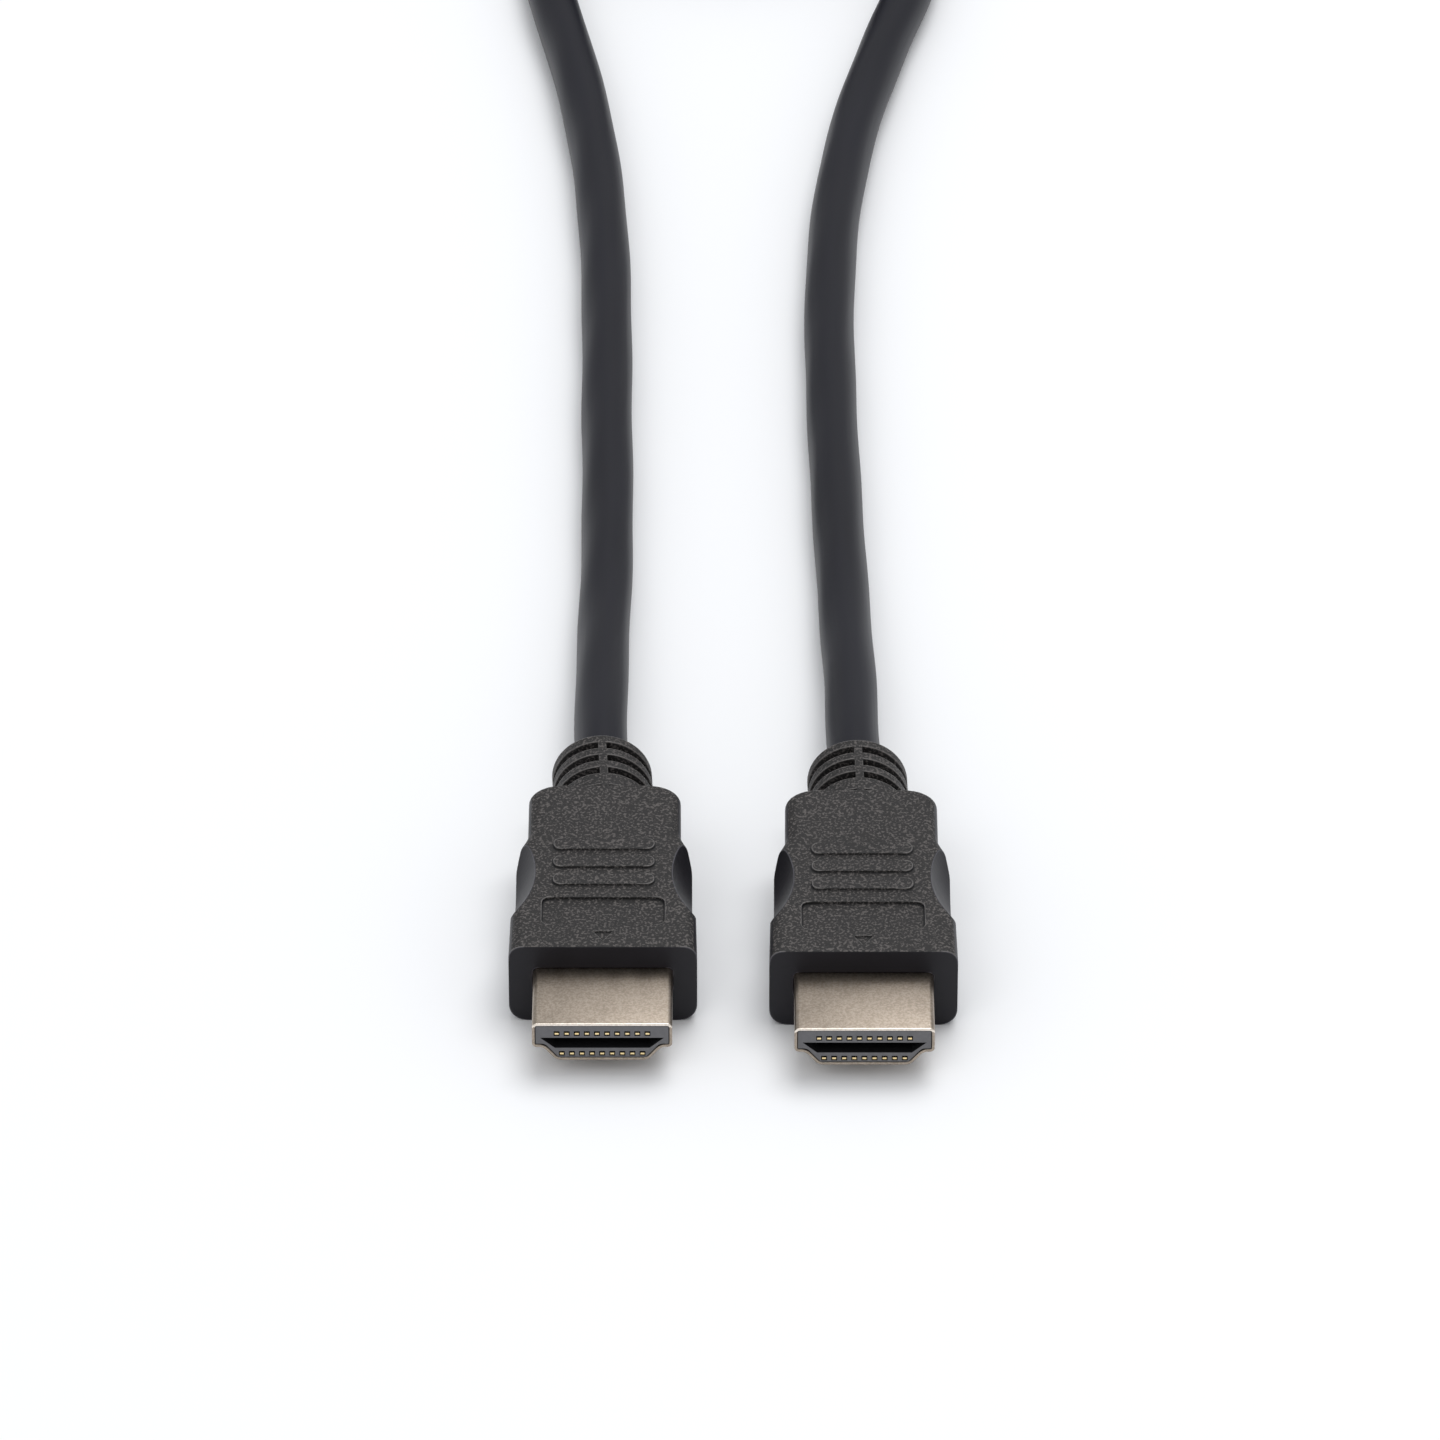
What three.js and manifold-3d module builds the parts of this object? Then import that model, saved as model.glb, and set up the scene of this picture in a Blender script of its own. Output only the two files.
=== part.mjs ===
// Display cable: two type A plugs lying side by side, with one round cable from plug to plug.
// The cable runs back from both strain reliefs to a flat hank of folded turns held by a tie.
// Millimetres. X to the right, Y away from the plug tips, Z up from the surface that it lies on.

import * as THREE from 'three';
import Module from 'manifold-3d';
import { mergeVertices } from 'three/addons/utils/BufferGeometryUtils.js';

// Metal shell of a plug
const SHELL_WIDTH = 13.9;
const SHELL_HEIGHT = 4.45;
const SHELL_WALL = 0.3;
const SHELL_REACH = 9.4;
const SHELL_LIFT = 1.95;
const SHELL_TOP_CORNER = 0.5;
const SHELL_SIDE_CORNER = 0.4;
const SHELL_SHELF_HEIGHT = 1.6;
const SHELL_SHELF_HALF = 5.85;
const SHELL_KEEL_HALF = 4.53;
const SHELL_KEEL_CORNER = 0.5;
const SHELL_SEAT = 3.2;
const SEAT_CLEARANCE = 0.25;

// Insulator block inside the shell, with the slot that a socket's tongue enters
const INSULATOR_CLEARANCE = 0.06;
const INSULATOR_RECESS = 0.1;
const TONGUE_SLOT_BOTTOM = 1.46;
const TONGUE_SLOT_HEIGHT = 1.23;
const TONGUE_SLOT_TOP_WIDTH = 12.3;
const TONGUE_SLOT_BOTTOM_WIDTH = 9.4;
const TONGUE_SLOT_DEPTH = 6.4;

// Contacts: an upper row and a lower row, half a pitch apart
const CONTACT_PITCH = 1.0;
const UPPER_CONTACTS = 10;
const LOWER_CONTACTS = 9;
const CONTACT_WIDTH = 0.38;
const CONTACT_THICKNESS = 0.2;
const CONTACT_LENGTH = 7.6;
const CONTACT_SETBACK = 0.1;
const CONTACT_SLOT_WIDTH = 0.58;
const CONTACT_SLOT_HEIGHT = 0.56;
const CONTACT_SLOT_CLEARANCE = 0.08;
const UPPER_SLOT_BOTTOM = 2.92;
const LOWER_SLOT_BOTTOM = 0.5;

// Moulded grip round the shell's rear
const GRIP_LENGTH = 26.4;
const GRIP_FRONT_HEIGHT = 9.05;
const GRIP_FRONT_WIDTH = 18.82;
const SHOULDER_WIDTH = 18.54;
const SHOULDER_START = 7.4;
const SHOULDER_LENGTH = 2.0;
const WAIST_WIDTH = 17.76;
const FLARE_START = 15.3;
const FLARE_LENGTH = 4.1;
const GRIP_REAR_WIDTH = 15.44;
const REAR_CORNER = 1.6;
const TOP_EDGE_RADIUS = 1.35;
const BOTTOM_EDGE_RADIUS = 1.8;

// Marks on the grip's top face
const PAD_COUNT = 3;
const PAD_WIDTH = 10.2;
const PAD_LENGTH = 1.78;
const PAD_PITCH = 2.88;
const PAD_HEIGHT = 0.25;
const PAD_CORNER = 0.8;
const FIRST_PAD = 10.7;
const PANEL_WIDTH = 12.3;
const PANEL_LENGTH = 4.4;
const PANEL_CORNER = 0.8;
const PANEL_DEPTH = 0.3;
const PANEL_CENTRE = 5.84;
const ARROW_WIDTH = 1.9;
const ARROW_LENGTH = 1.5;
const ARROW_DEPTH = 0.2;
const ARROW_TIP = 1.3;

// Thumb hollows in the upper side edges, each a part of a large ball
const HOLLOW_BALL_RADIUS = 12.5;
const HOLLOW_STATION = 12.0;
const HOLLOW_OUTSET = 9.7;
const HOLLOW_RISE = 4.5;

// Strain relief behind the grip, moulded with it
const BOOT_DIAMETER = 10.26;
const BOOT_BASE = 2.25;
const RING_COUNT = 3;
const RING_LENGTH = 1.1;
const GROOVE_LENGTH = 1.13;
const GROOVE_DEPTH = 1.3;
const BOOT_RIB_WIDTH = 0.83;
const BOOT_RIB_SETBACK = 0.1;
const BOOT_ROOT = 1.5;
const BOOT_LEAN = { left: -0.42, right: -0.25 };

// Cable, and where the two plugs lie
const CABLE_DIAMETER = 5.6;
const CABLE_GAP = 0.3;
const PLUG_SPACING = 26;
const PLUG_STAGGER = 0.8;

// Hank: turns beside and on each other, wide at its two folds and drawn together at its tie
const STRAND_PITCH = 5.7;
const HANK_FOLD_RADIUS = 17;
const HANK_TURNS_WIDE = 2;
const HANK_LAYERS = 2;
const HANK_RUN = 77;
const HANK_NEAR_END = 196;
const HANK_SLACK = 0.3;
const TIE_WIDTH = 7;
const TIE_THICKNESS = 0.8;
const TIE_CLEARANCE = 0.3;
const TIE_CORNER = 0.8;

// How far a cutting solid stands out beyond the face that it cuts
const CUT_OVERRUN = 1;

// Fineness of round work
const WELD_DISTANCE = 1e-5;
const CORNER_STEPS = 4;
const BALL_SIDES = 56;
const BALL_RINGS = 40;
const BOOT_SIDES = 32;
const CABLE_SIDES = 10;
const CABLE_STEPS = 20;
const WAIST_STEPS = 10;
const FOLD_STEPS = 14;

const BODY_LENGTH = GRIP_LENGTH + BOOT_BASE + RING_COUNT * (GROOVE_LENGTH + RING_LENGTH);
const BOOT_RADIUS = BOOT_DIAMETER / 2;
const CABLE_RADIUS = CABLE_DIAMETER / 2;
const PLUG_FRONT = -(BODY_LENGTH - SHELL_REACH) / 2;
const TOP_SLOPE = Math.atan2(BOOT_DIAMETER - GRIP_FRONT_HEIGHT, GRIP_LENGTH);

const wasm = await Module();
wasm.setup();

// A solid for cutting and joining, from a closed geometry
function toSolid(geometry) {
  const bare = geometry.clone();
  bare.deleteAttribute('normal');
  bare.deleteAttribute('uv');
  const welded = mergeVertices(bare, WELD_DISTANCE);
  const mesh = new wasm.Mesh({
    numProp: 3,
    vertProperties: new Float32Array(welded.attributes.position.array),
    triVerts: new Uint32Array(welded.index.array),
  });
  return new wasm.Manifold(mesh);
}

// The geometry of a cut or joined solid
function toGeometry(solid) {
  const mesh = solid.getMesh();
  const geometry = new THREE.BufferGeometry();
  geometry.setAttribute('position', new THREE.BufferAttribute(mesh.vertProperties, 3));
  geometry.setIndex(new THREE.BufferAttribute(mesh.triVerts, 1));
  geometry.computeVertexNormals();
  return geometry;
}

function boxBetween(low, high) {
  const size = high.map((value, axis) => value - low[axis]);
  const middle = high.map((value, axis) => (value + low[axis]) / 2);
  return new THREE.BoxGeometry(...size).translate(...middle);
}

// An outline with rounded corners, from corners [x, y, radius], each grown outwards by a margin
function roundedOutline(corners, margin = 0) {
  const count = corners.length;
  const grown = corners.map(([x, y, radius], at) => {
    const [px, py] = corners[(at + count - 1) % count];
    const [nx, ny] = corners[(at + 1) % count];
    const before = new THREE.Vector2(x - px, y - py).normalize();
    const after = new THREE.Vector2(nx - x, ny - y).normalize();
    const turn = before.x * after.y - before.y * after.x;
    const out = new THREE.Vector2(before.y + after.y, -before.x - after.x);
    const reach = margin / (1 + before.dot(after));
    return { x: x + out.x * reach, y: y + out.y * reach, radius: radius + Math.sign(turn) * margin };
  });
  const points = [];
  grown.forEach((corner, at) => {
    const here = new THREE.Vector2(corner.x, corner.y);
    const before = new THREE.Vector2().copy(grown[(at + count - 1) % count]).sub(here).normalize();
    const after = new THREE.Vector2().copy(grown[(at + 1) % count]).sub(here).normalize();
    const half = Math.acos(before.dot(after)) / 2;
    const radius = Math.max(corner.radius, 0);
    const start = here.clone().addScaledVector(before, radius / Math.tan(half));
    const end = here.clone().addScaledVector(after, radius / Math.tan(half));
    for (let step = 0; step <= (radius > 0 ? CORNER_STEPS : 0); step += 1) {
      const t = step / CORNER_STEPS;
      const middle = here.clone().multiplyScalar(2 * t * (1 - t));
      middle.addScaledVector(start, (1 - t) ** 2).addScaledVector(end, t ** 2);
      points.push(middle);
    }
  });
  return points;
}

// The shell's D outline seen from the front, x across and y up from its underside
function shellOutline(margin) {
  const half = SHELL_WIDTH / 2;
  const right = [
    [SHELL_KEEL_HALF, 0, SHELL_KEEL_CORNER],
    [SHELL_SHELF_HALF, SHELL_SHELF_HEIGHT, SHELL_SIDE_CORNER],
    [half, SHELL_SHELF_HEIGHT, SHELL_SIDE_CORNER],
    [half, SHELL_HEIGHT, SHELL_TOP_CORNER],
  ];
  const left = right.map(([x, y, radius]) => [-x, y, radius]).reverse();
  return roundedOutline([...right, ...left], margin);
}

// A prism of a front outline between two stations along the plug
function prism(outline, front, back, holes = []) {
  const shape = new THREE.Shape(outline);
  shape.holes = holes.map((hole) => new THREE.Path(hole));
  const geometry = new THREE.ExtrudeGeometry(shape, { depth: back - front, bevelEnabled: false });
  return geometry.rotateX(Math.PI / 2).translate(0, back, SHELL_LIFT);
}

function ease(t) {
  const bounded = THREE.MathUtils.clamp(t, 0, 1);
  return bounded * bounded * (3 - 2 * bounded);
}

// Half the grip's width at a station behind its front face
function gripHalfWidth(station) {
  const taper = Math.min(station / SHOULDER_START, 1);
  const shoulder = ease((station - SHOULDER_START) / SHOULDER_LENGTH);
  const flare = ease((station - FLARE_START) / FLARE_LENGTH);
  const corner = Math.max(station - (GRIP_LENGTH - REAR_CORNER), 0);
  const width = GRIP_FRONT_WIDTH
    + (SHOULDER_WIDTH - GRIP_FRONT_WIDTH) * taper
    + (WAIST_WIDTH - SHOULDER_WIDTH) * shoulder
    + (GRIP_REAR_WIDTH - WAIST_WIDTH) * flare;
  return width / 2 - REAR_CORNER + Math.sqrt(Math.max(REAR_CORNER ** 2 - corner ** 2, 0));
}

function gripTop(station) {
  return GRIP_FRONT_HEIGHT + station * Math.tan(TOP_SLOPE);
}

// Stations where the grip's section changes
function gripStations() {
  const shoulder = [0, 0.3, 0.5, 0.7, 1].map((t) => SHOULDER_START + t * SHOULDER_LENGTH);
  const flare = [0, 0.2, 0.4, 0.6, 0.8, 1].map((t) => FLARE_START + t * FLARE_LENGTH);
  const corner = [0, 22.5, 45, 67.5, 80].map((degrees) => (
    GRIP_LENGTH - REAR_CORNER * (1 - Math.sin(THREE.MathUtils.degToRad(degrees)))
  ));
  return [0, ...shoulder, ...flare, ...corner, GRIP_LENGTH];
}

// A closed solid through sections of equal point count, each section a ring of points
function loft(rings) {
  const count = rings[0].length;
  const positions = [];
  const index = [];
  rings.flat().forEach((point) => positions.push(point.x, point.y, point.z));
  for (let ring = 0; ring + 1 < rings.length; ring += 1) {
    for (let side = 0; side < count; side += 1) {
      const a = ring * count + side;
      const b = ring * count + (side + 1) % count;
      index.push(a, a + count, b, b, a + count, b + count);
    }
  }
  const last = (rings.length - 1) * count;
  for (let side = 1; side + 1 < count; side += 1) {
    index.push(0, side, side + 1);
    index.push(last, last + side + 1, last + side);
  }
  const geometry = new THREE.BufferGeometry();
  geometry.setAttribute('position', new THREE.Float32BufferAttribute(positions, 3));
  geometry.setIndex(index);
  return geometry;
}

function gripBody() {
  const rings = gripStations().map((station) => {
    const half = gripHalfWidth(station);
    const top = gripTop(station);
    const section = roundedOutline([
      [half, 0, BOTTOM_EDGE_RADIUS],
      [half, top, TOP_EDGE_RADIUS],
      [-half, top, TOP_EDGE_RADIUS],
      [-half, 0, BOTTOM_EDGE_RADIUS],
    ]);
    return section.map((point) => new THREE.Vector3(point.x, station, point.y));
  });
  return toSolid(loft(rings));
}

// Puts a flat shape on the grip's sloping top face: reach above the face and depth below it
function onTopFace(outline, centre, reach, depth) {
  const geometry = new THREE.ExtrudeGeometry(new THREE.Shape(outline), {
    depth: reach + depth,
    bevelEnabled: false,
  });
  geometry.translate(0, centre / Math.cos(TOP_SLOPE), -depth);
  return toSolid(geometry.rotateX(TOP_SLOPE).translate(0, 0, GRIP_FRONT_HEIGHT));
}

function roundedRectangle(width, length, radius) {
  const x = width / 2;
  const y = length / 2;
  return roundedOutline([[x, -y, radius], [x, y, radius], [-x, y, radius], [-x, -y, radius]]);
}

// Strain relief: a base, then rings with grooves between them, and a rib along its top and underside
function boot(side) {
  const profile = [[0, -BOOT_ROOT], [BOOT_RADIUS - GROOVE_DEPTH, -BOOT_ROOT]];
  profile.push([BOOT_RADIUS - GROOVE_DEPTH, 0], [BOOT_RADIUS, 0], [BOOT_RADIUS, BOOT_BASE]);
  for (let ring = 0; ring < RING_COUNT; ring += 1) {
    const groove = BOOT_BASE + ring * (GROOVE_LENGTH + RING_LENGTH);
    profile.push([BOOT_RADIUS - GROOVE_DEPTH, groove]);
    profile.push([BOOT_RADIUS - GROOVE_DEPTH, groove + GROOVE_LENGTH]);
    profile.push([BOOT_RADIUS, groove + GROOVE_LENGTH]);
    profile.push([BOOT_RADIUS, groove + GROOVE_LENGTH + RING_LENGTH]);
  }
  profile.push([0, BODY_LENGTH - GRIP_LENGTH]);
  const turned = new THREE.LatheGeometry(profile.map((at) => new THREE.Vector2(...at)), BOOT_SIDES);
  const ribReach = BOOT_RADIUS - BOOT_RIB_SETBACK;
  const rib = boxBetween(
    [-BOOT_RIB_WIDTH / 2, BOOT_BASE / 2, -ribReach],
    [BOOT_RIB_WIDTH / 2, BODY_LENGTH - GRIP_LENGTH - RING_LENGTH / 2, ribReach],
  );
  const lean = BOOT_LEAN[side] / (BODY_LENGTH - GRIP_LENGTH);
  const shear = new THREE.Matrix4().makeShear(0, 0, lean, 0, 0, 0);
  const parts = [turned, rib].map((geometry) => (
    toSolid(geometry.applyMatrix4(shear).translate(0, GRIP_LENGTH, BOOT_RADIUS))
  ));
  return parts[0].add(parts[1]);
}

function grip(side) {
  let body = gripBody().add(boot(side));
  for (let pad = 0; pad < PAD_COUNT; pad += 1) {
    const outline = roundedRectangle(PAD_WIDTH, PAD_LENGTH, PAD_CORNER);
    body = body.add(onTopFace(outline, FIRST_PAD + pad * PAD_PITCH, PAD_HEIGHT, PAD_HEIGHT));
  }
  const panel = roundedRectangle(PANEL_WIDTH, PANEL_LENGTH, PANEL_CORNER);
  body = body.subtract(onTopFace(panel, PANEL_CENTRE, CUT_OVERRUN, PANEL_DEPTH));
  const arrow = [
    new THREE.Vector2(0, -ARROW_LENGTH / 2),
    new THREE.Vector2(ARROW_WIDTH / 2, ARROW_LENGTH / 2),
    new THREE.Vector2(-ARROW_WIDTH / 2, ARROW_LENGTH / 2),
  ];
  const arrowMiddle = ARROW_TIP + ARROW_LENGTH / 2;
  body = body.subtract(onTopFace(arrow, arrowMiddle, CUT_OVERRUN, ARROW_DEPTH));
  for (const hand of [-1, 1]) {
    const ball = new THREE.SphereGeometry(HOLLOW_BALL_RADIUS, BALL_SIDES, BALL_RINGS);
    const outset = WAIST_WIDTH / 2 + HOLLOW_OUTSET;
    ball.translate(hand * outset, HOLLOW_STATION, gripTop(HOLLOW_STATION) + HOLLOW_RISE);
    body = body.subtract(toSolid(ball));
  }
  const pocket = prism(shellOutline(SEAT_CLEARANCE), -CUT_OVERRUN, SHELL_SEAT);
  return toGeometry(body.subtract(toSolid(pocket)));
}

function shell() {
  const back = SHELL_SEAT - SEAT_CLEARANCE;
  return prism(shellOutline(0), -SHELL_REACH, back, [shellOutline(-SHELL_WALL)]);
}

// Where each contact's slot stands: its middle across and the height of its floor
function contactPlaces() {
  const row = (count, floor) => Array.from({ length: count }, (_, at) => ({
    x: (at - (count - 1) / 2) * CONTACT_PITCH,
    floor: SHELL_LIFT + floor,
  }));
  return [...row(UPPER_CONTACTS, UPPER_SLOT_BOTTOM), ...row(LOWER_CONTACTS, LOWER_SLOT_BOTTOM)];
}

function insulator() {
  const front = -SHELL_REACH + INSULATOR_RECESS;
  const back = SHELL_SEAT - SEAT_CLEARANCE;
  const outline = shellOutline(-SHELL_WALL - INSULATOR_CLEARANCE);
  const slot = [
    new THREE.Vector2(TONGUE_SLOT_BOTTOM_WIDTH / 2, TONGUE_SLOT_BOTTOM),
    new THREE.Vector2(TONGUE_SLOT_TOP_WIDTH / 2, TONGUE_SLOT_BOTTOM + TONGUE_SLOT_HEIGHT),
    new THREE.Vector2(-TONGUE_SLOT_TOP_WIDTH / 2, TONGUE_SLOT_BOTTOM + TONGUE_SLOT_HEIGHT),
    new THREE.Vector2(-TONGUE_SLOT_BOTTOM_WIDTH / 2, TONGUE_SLOT_BOTTOM),
  ];
  let block = toSolid(prism(outline, front, back));
  block = block.subtract(toSolid(prism(slot, front - CUT_OVERRUN, front + TONGUE_SLOT_DEPTH)));
  const slotBack = front + CONTACT_SETBACK + CONTACT_LENGTH + CONTACT_SLOT_CLEARANCE;
  contactPlaces().forEach(({ x, floor }) => {
    const low = [x - CONTACT_SLOT_WIDTH / 2, front - CUT_OVERRUN, floor];
    const high = [x + CONTACT_SLOT_WIDTH / 2, slotBack, floor + CONTACT_SLOT_HEIGHT];
    block = block.subtract(toSolid(boxBetween(low, high)));
  });
  return toGeometry(block);
}

function contact({ x, floor }) {
  const front = -SHELL_REACH + INSULATOR_RECESS + CONTACT_SETBACK;
  const rest = floor + CONTACT_SLOT_CLEARANCE;
  return boxBetween(
    [x - CONTACT_WIDTH / 2, front, rest],
    [x + CONTACT_WIDTH / 2, front + CONTACT_LENGTH, rest + CONTACT_THICKNESS],
  );
}

const mouldedPvc = { color: 0x2b2a2c, roughness: 0.62, metalness: 0 };
const nickel = { color: 0xa39789, roughness: 0.28, metalness: 1 };
const darkPlastic = { color: 0x5f6064, roughness: 0.5, metalness: 0 };
const gold = { color: 0xd9b25f, roughness: 0.25, metalness: 1 };
const cableJacket = { color: 0x1f1f26, roughness: 0.42, metalness: 0 };
const tiePlastic = { color: 0x1b1b1d, roughness: 0.5, metalness: 0 };

function named(name, geometry, finish) {
  const mesh = new THREE.Mesh(geometry, new THREE.MeshStandardMaterial(finish));
  mesh.name = name;
  return mesh;
}

function plug(side) {
  const hand = side === 'left' ? -1 : 1;
  const group = new THREE.Group();
  group.position.set(hand * PLUG_SPACING / 2, PLUG_FRONT - hand * PLUG_STAGGER / 2, 0);
  group.add(named(`overmold_${side}`, grip(side), mouldedPvc));
  group.add(named(`shell_${side}`, shell(), nickel));
  group.add(named(`insulator_${side}`, insulator(), darkPlastic));
  contactPlaces().forEach((place, at) => {
    const number = String(at + 1).padStart(2, '0');
    group.add(named(`contact_${side}_${number}`, contact(place), gold));
  });
  return group;
}

// Centre of a plug's cable exit, a gap behind the last ring
function cableExit(side) {
  const hand = side === 'left' ? -1 : 1;
  return [
    hand * PLUG_SPACING / 2 + BOOT_LEAN[side],
    PLUG_FRONT - hand * PLUG_STAGGER / 2 + BODY_LENGTH + CABLE_GAP,
    BOOT_RADIUS,
  ];
}

// The hank's outline: half its width where it folds and where the tie draws it together
const foldHalf = HANK_FOLD_RADIUS + (HANK_TURNS_WIDE - 1) * STRAND_PITCH + CABLE_RADIUS + HANK_SLACK;
const tiedHalf = HANK_TURNS_WIDE * STRAND_PITCH + HANK_SLACK;
const hankHeight = HANK_LAYERS * STRAND_PITCH + TIE_THICKNESS + TIE_CLEARANCE;
const nearFold = HANK_NEAR_END + foldHalf;
const farFold = nearFold + HANK_RUN;
const tieMiddle = (nearFold + farFold) / 2;
const tieSeat = TIE_WIDTH / 2 + TIE_CLEARANCE;
const leadSide = HANK_FOLD_RADIUS + (HANK_TURNS_WIDE - 1) * STRAND_PITCH;
const leadEnd = nearFold - Math.sqrt(foldHalf ** 2 - (leadSide - CABLE_RADIUS) ** 2) - CABLE_GAP;

// Centre lines of the two stretches between the plugs and the hank
const leftRun = [
  cableExit('left'),
  [-13.62, 30.1, 5.05],
  [-13.64, 42.2, 4.2],
  [-13.55, 50.7, 3.45],
  [-13.4, 58.4, 2.98],
  [-13.3, 66, 2.82],
  [-13.34, 77.6, CABLE_RADIUS],
  [-13.64, 97.4, CABLE_RADIUS],
  [-13.75, 113.7, CABLE_RADIUS],
  [-14.3, 133, CABLE_RADIUS],
  [-15.9, 153, CABLE_RADIUS],
  [-18.6, 172, CABLE_RADIUS],
  [-21.4, 188, CABLE_RADIUS],
  [-leadSide, leadEnd, CABLE_RADIUS],
];
const rightRun = [
  cableExit('right'),
  [12.43, 29.3, 5.05],
  [12.23, 42.2, 4.2],
  [11.95, 50.7, 3.45],
  [11.71, 58.4, 2.98],
  [11.5, 66, 2.82],
  [11.21, 77.6, CABLE_RADIUS],
  [10.82, 97.5, CABLE_RADIUS],
  [10.69, 113.8, CABLE_RADIUS],
  [11.4, 133, CABLE_RADIUS],
  [13.6, 153, CABLE_RADIUS],
  [17.3, 172, CABLE_RADIUS],
  [20.9, 187, CABLE_RADIUS],
  [leadSide, leadEnd, CABLE_RADIUS],
];

function cableTube(points) {
  const path = new THREE.CatmullRomCurve3(points.map((point) => new THREE.Vector3(...point)));
  const section = new THREE.Shape();
  section.absarc(0, 0, CABLE_RADIUS, 0, 2 * Math.PI);
  return new THREE.ExtrudeGeometry(section, {
    steps: CABLE_STEPS,
    curveSegments: CABLE_SIDES / 2,
    extrudePath: path,
  });
}

// Half the hank's width from a fold, at 0, to the tie's seat, at 1
function hankHalfWidth(t) {
  return tiedHalf + (foldHalf - tiedHalf) * (1 + Math.cos(Math.PI * t)) / 2;
}

function hank() {
  const outline = [];
  for (let step = 0; step <= FOLD_STEPS; step += 1) {
    const angle = Math.PI + Math.PI * step / FOLD_STEPS;
    outline.push(new THREE.Vector2(foldHalf * Math.cos(angle), nearFold + foldHalf * Math.sin(angle)));
  }
  for (let step = 1; step <= WAIST_STEPS; step += 1) {
    const t = step / WAIST_STEPS;
    outline.push(new THREE.Vector2(hankHalfWidth(t), nearFold + t * (HANK_RUN / 2 - tieSeat)));
  }
  for (let step = WAIST_STEPS; step > 0; step -= 1) {
    const t = step / WAIST_STEPS;
    outline.push(new THREE.Vector2(hankHalfWidth(t), farFold - t * (HANK_RUN / 2 - tieSeat)));
  }
  const farSide = outline.map((point) => new THREE.Vector2(-point.x, nearFold + farFold - point.y));
  const shape = new THREE.Shape([...outline, ...farSide]);
  const solid = new THREE.ExtrudeGeometry(shape, { depth: hankHeight, bevelEnabled: false });
  const notch = boxBetween(
    [-foldHalf, tieMiddle - tieSeat, -CUT_OVERRUN],
    [foldHalf, tieMiddle + tieSeat, TIE_THICKNESS + TIE_CLEARANCE],
  );
  return toGeometry(toSolid(solid).subtract(toSolid(notch)));
}

// A flat band round the hank's waist
function tie() {
  const half = tiedHalf + TIE_CLEARANCE;
  const low = TIE_THICKNESS;
  const high = hankHeight + TIE_CLEARANCE;
  const bore = [
    [half, low, TIE_CORNER],
    [half, high, TIE_CORNER],
    [-half, high, TIE_CORNER],
    [-half, low, TIE_CORNER],
  ];
  const shape = new THREE.Shape(roundedOutline(bore, TIE_THICKNESS));
  shape.holes = [new THREE.Path(roundedOutline(bore))];
  const band = new THREE.ExtrudeGeometry(shape, { depth: TIE_WIDTH, bevelEnabled: false });
  return band.rotateX(Math.PI / 2).translate(0, tieMiddle + TIE_WIDTH / 2, 0);
}

const cable = new THREE.Group();
cable.add(plug('left'), plug('right'));
cable.add(named('cable_run_left', cableTube(leftRun), cableJacket));
cable.add(named('cable_run_right', cableTube(rightRun), cableJacket));
cable.add(named('cable_hank', hank(), cableJacket));
cable.add(named('hank_tie', tie(), tiePlastic));

export default cable;
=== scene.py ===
"""Looks of a display cable: two type A plugs lying side by side and one black lead between them.

Metres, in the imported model's frame: X to the right, Y away from the plug tips, Z up.
"""

import logging
import math
from collections.abc import Callable, Iterable, Sequence
from dataclasses import dataclass, field
from enum import Enum

import bmesh
import bpy
import numpy as np
from mathutils import Matrix, Vector


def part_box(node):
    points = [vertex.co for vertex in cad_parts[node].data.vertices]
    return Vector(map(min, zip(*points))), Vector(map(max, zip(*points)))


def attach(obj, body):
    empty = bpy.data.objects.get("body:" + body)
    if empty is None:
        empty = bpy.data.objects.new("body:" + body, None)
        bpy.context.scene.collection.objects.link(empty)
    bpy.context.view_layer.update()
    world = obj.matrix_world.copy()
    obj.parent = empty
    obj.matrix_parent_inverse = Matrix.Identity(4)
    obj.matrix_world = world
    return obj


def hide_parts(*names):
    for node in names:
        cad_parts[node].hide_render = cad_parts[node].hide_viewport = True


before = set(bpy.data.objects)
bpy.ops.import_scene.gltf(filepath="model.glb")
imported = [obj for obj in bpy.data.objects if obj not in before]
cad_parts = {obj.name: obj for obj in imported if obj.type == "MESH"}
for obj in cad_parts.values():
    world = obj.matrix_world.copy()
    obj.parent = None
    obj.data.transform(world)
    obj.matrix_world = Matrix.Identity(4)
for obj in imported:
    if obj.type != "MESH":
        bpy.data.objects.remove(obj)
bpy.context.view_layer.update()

MM = 0.001
BODY = "root"
# Name of the stored bend, which the grip materials turn into painted highlights on edges and painted
# shade in nooks.
EDGE = "edge"

log = logging.getLogger("cable")

Point = tuple[float, float, float]


class Side(Enum):
    """The two plugs, seen from their tips, with the sign of their X."""

    LEFT = -1
    RIGHT = 1

    @property
    def word(self) -> str:
        """The side's name as the model's nodes write it."""
        return self.name.lower()


def ease(t: float) -> float:
    """A smooth step from 0 to 1."""
    t = min(max(t, 0.0), 1.0)
    return t * t * (3 - 2 * t)


def slow_ease(t: float) -> float:
    """A smooth step from 0 to 1 that starts and ends more gently."""
    t = min(max(t, 0.0), 1.0)
    return t**3 * (t * (6 * t - 15) + 10)


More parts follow.
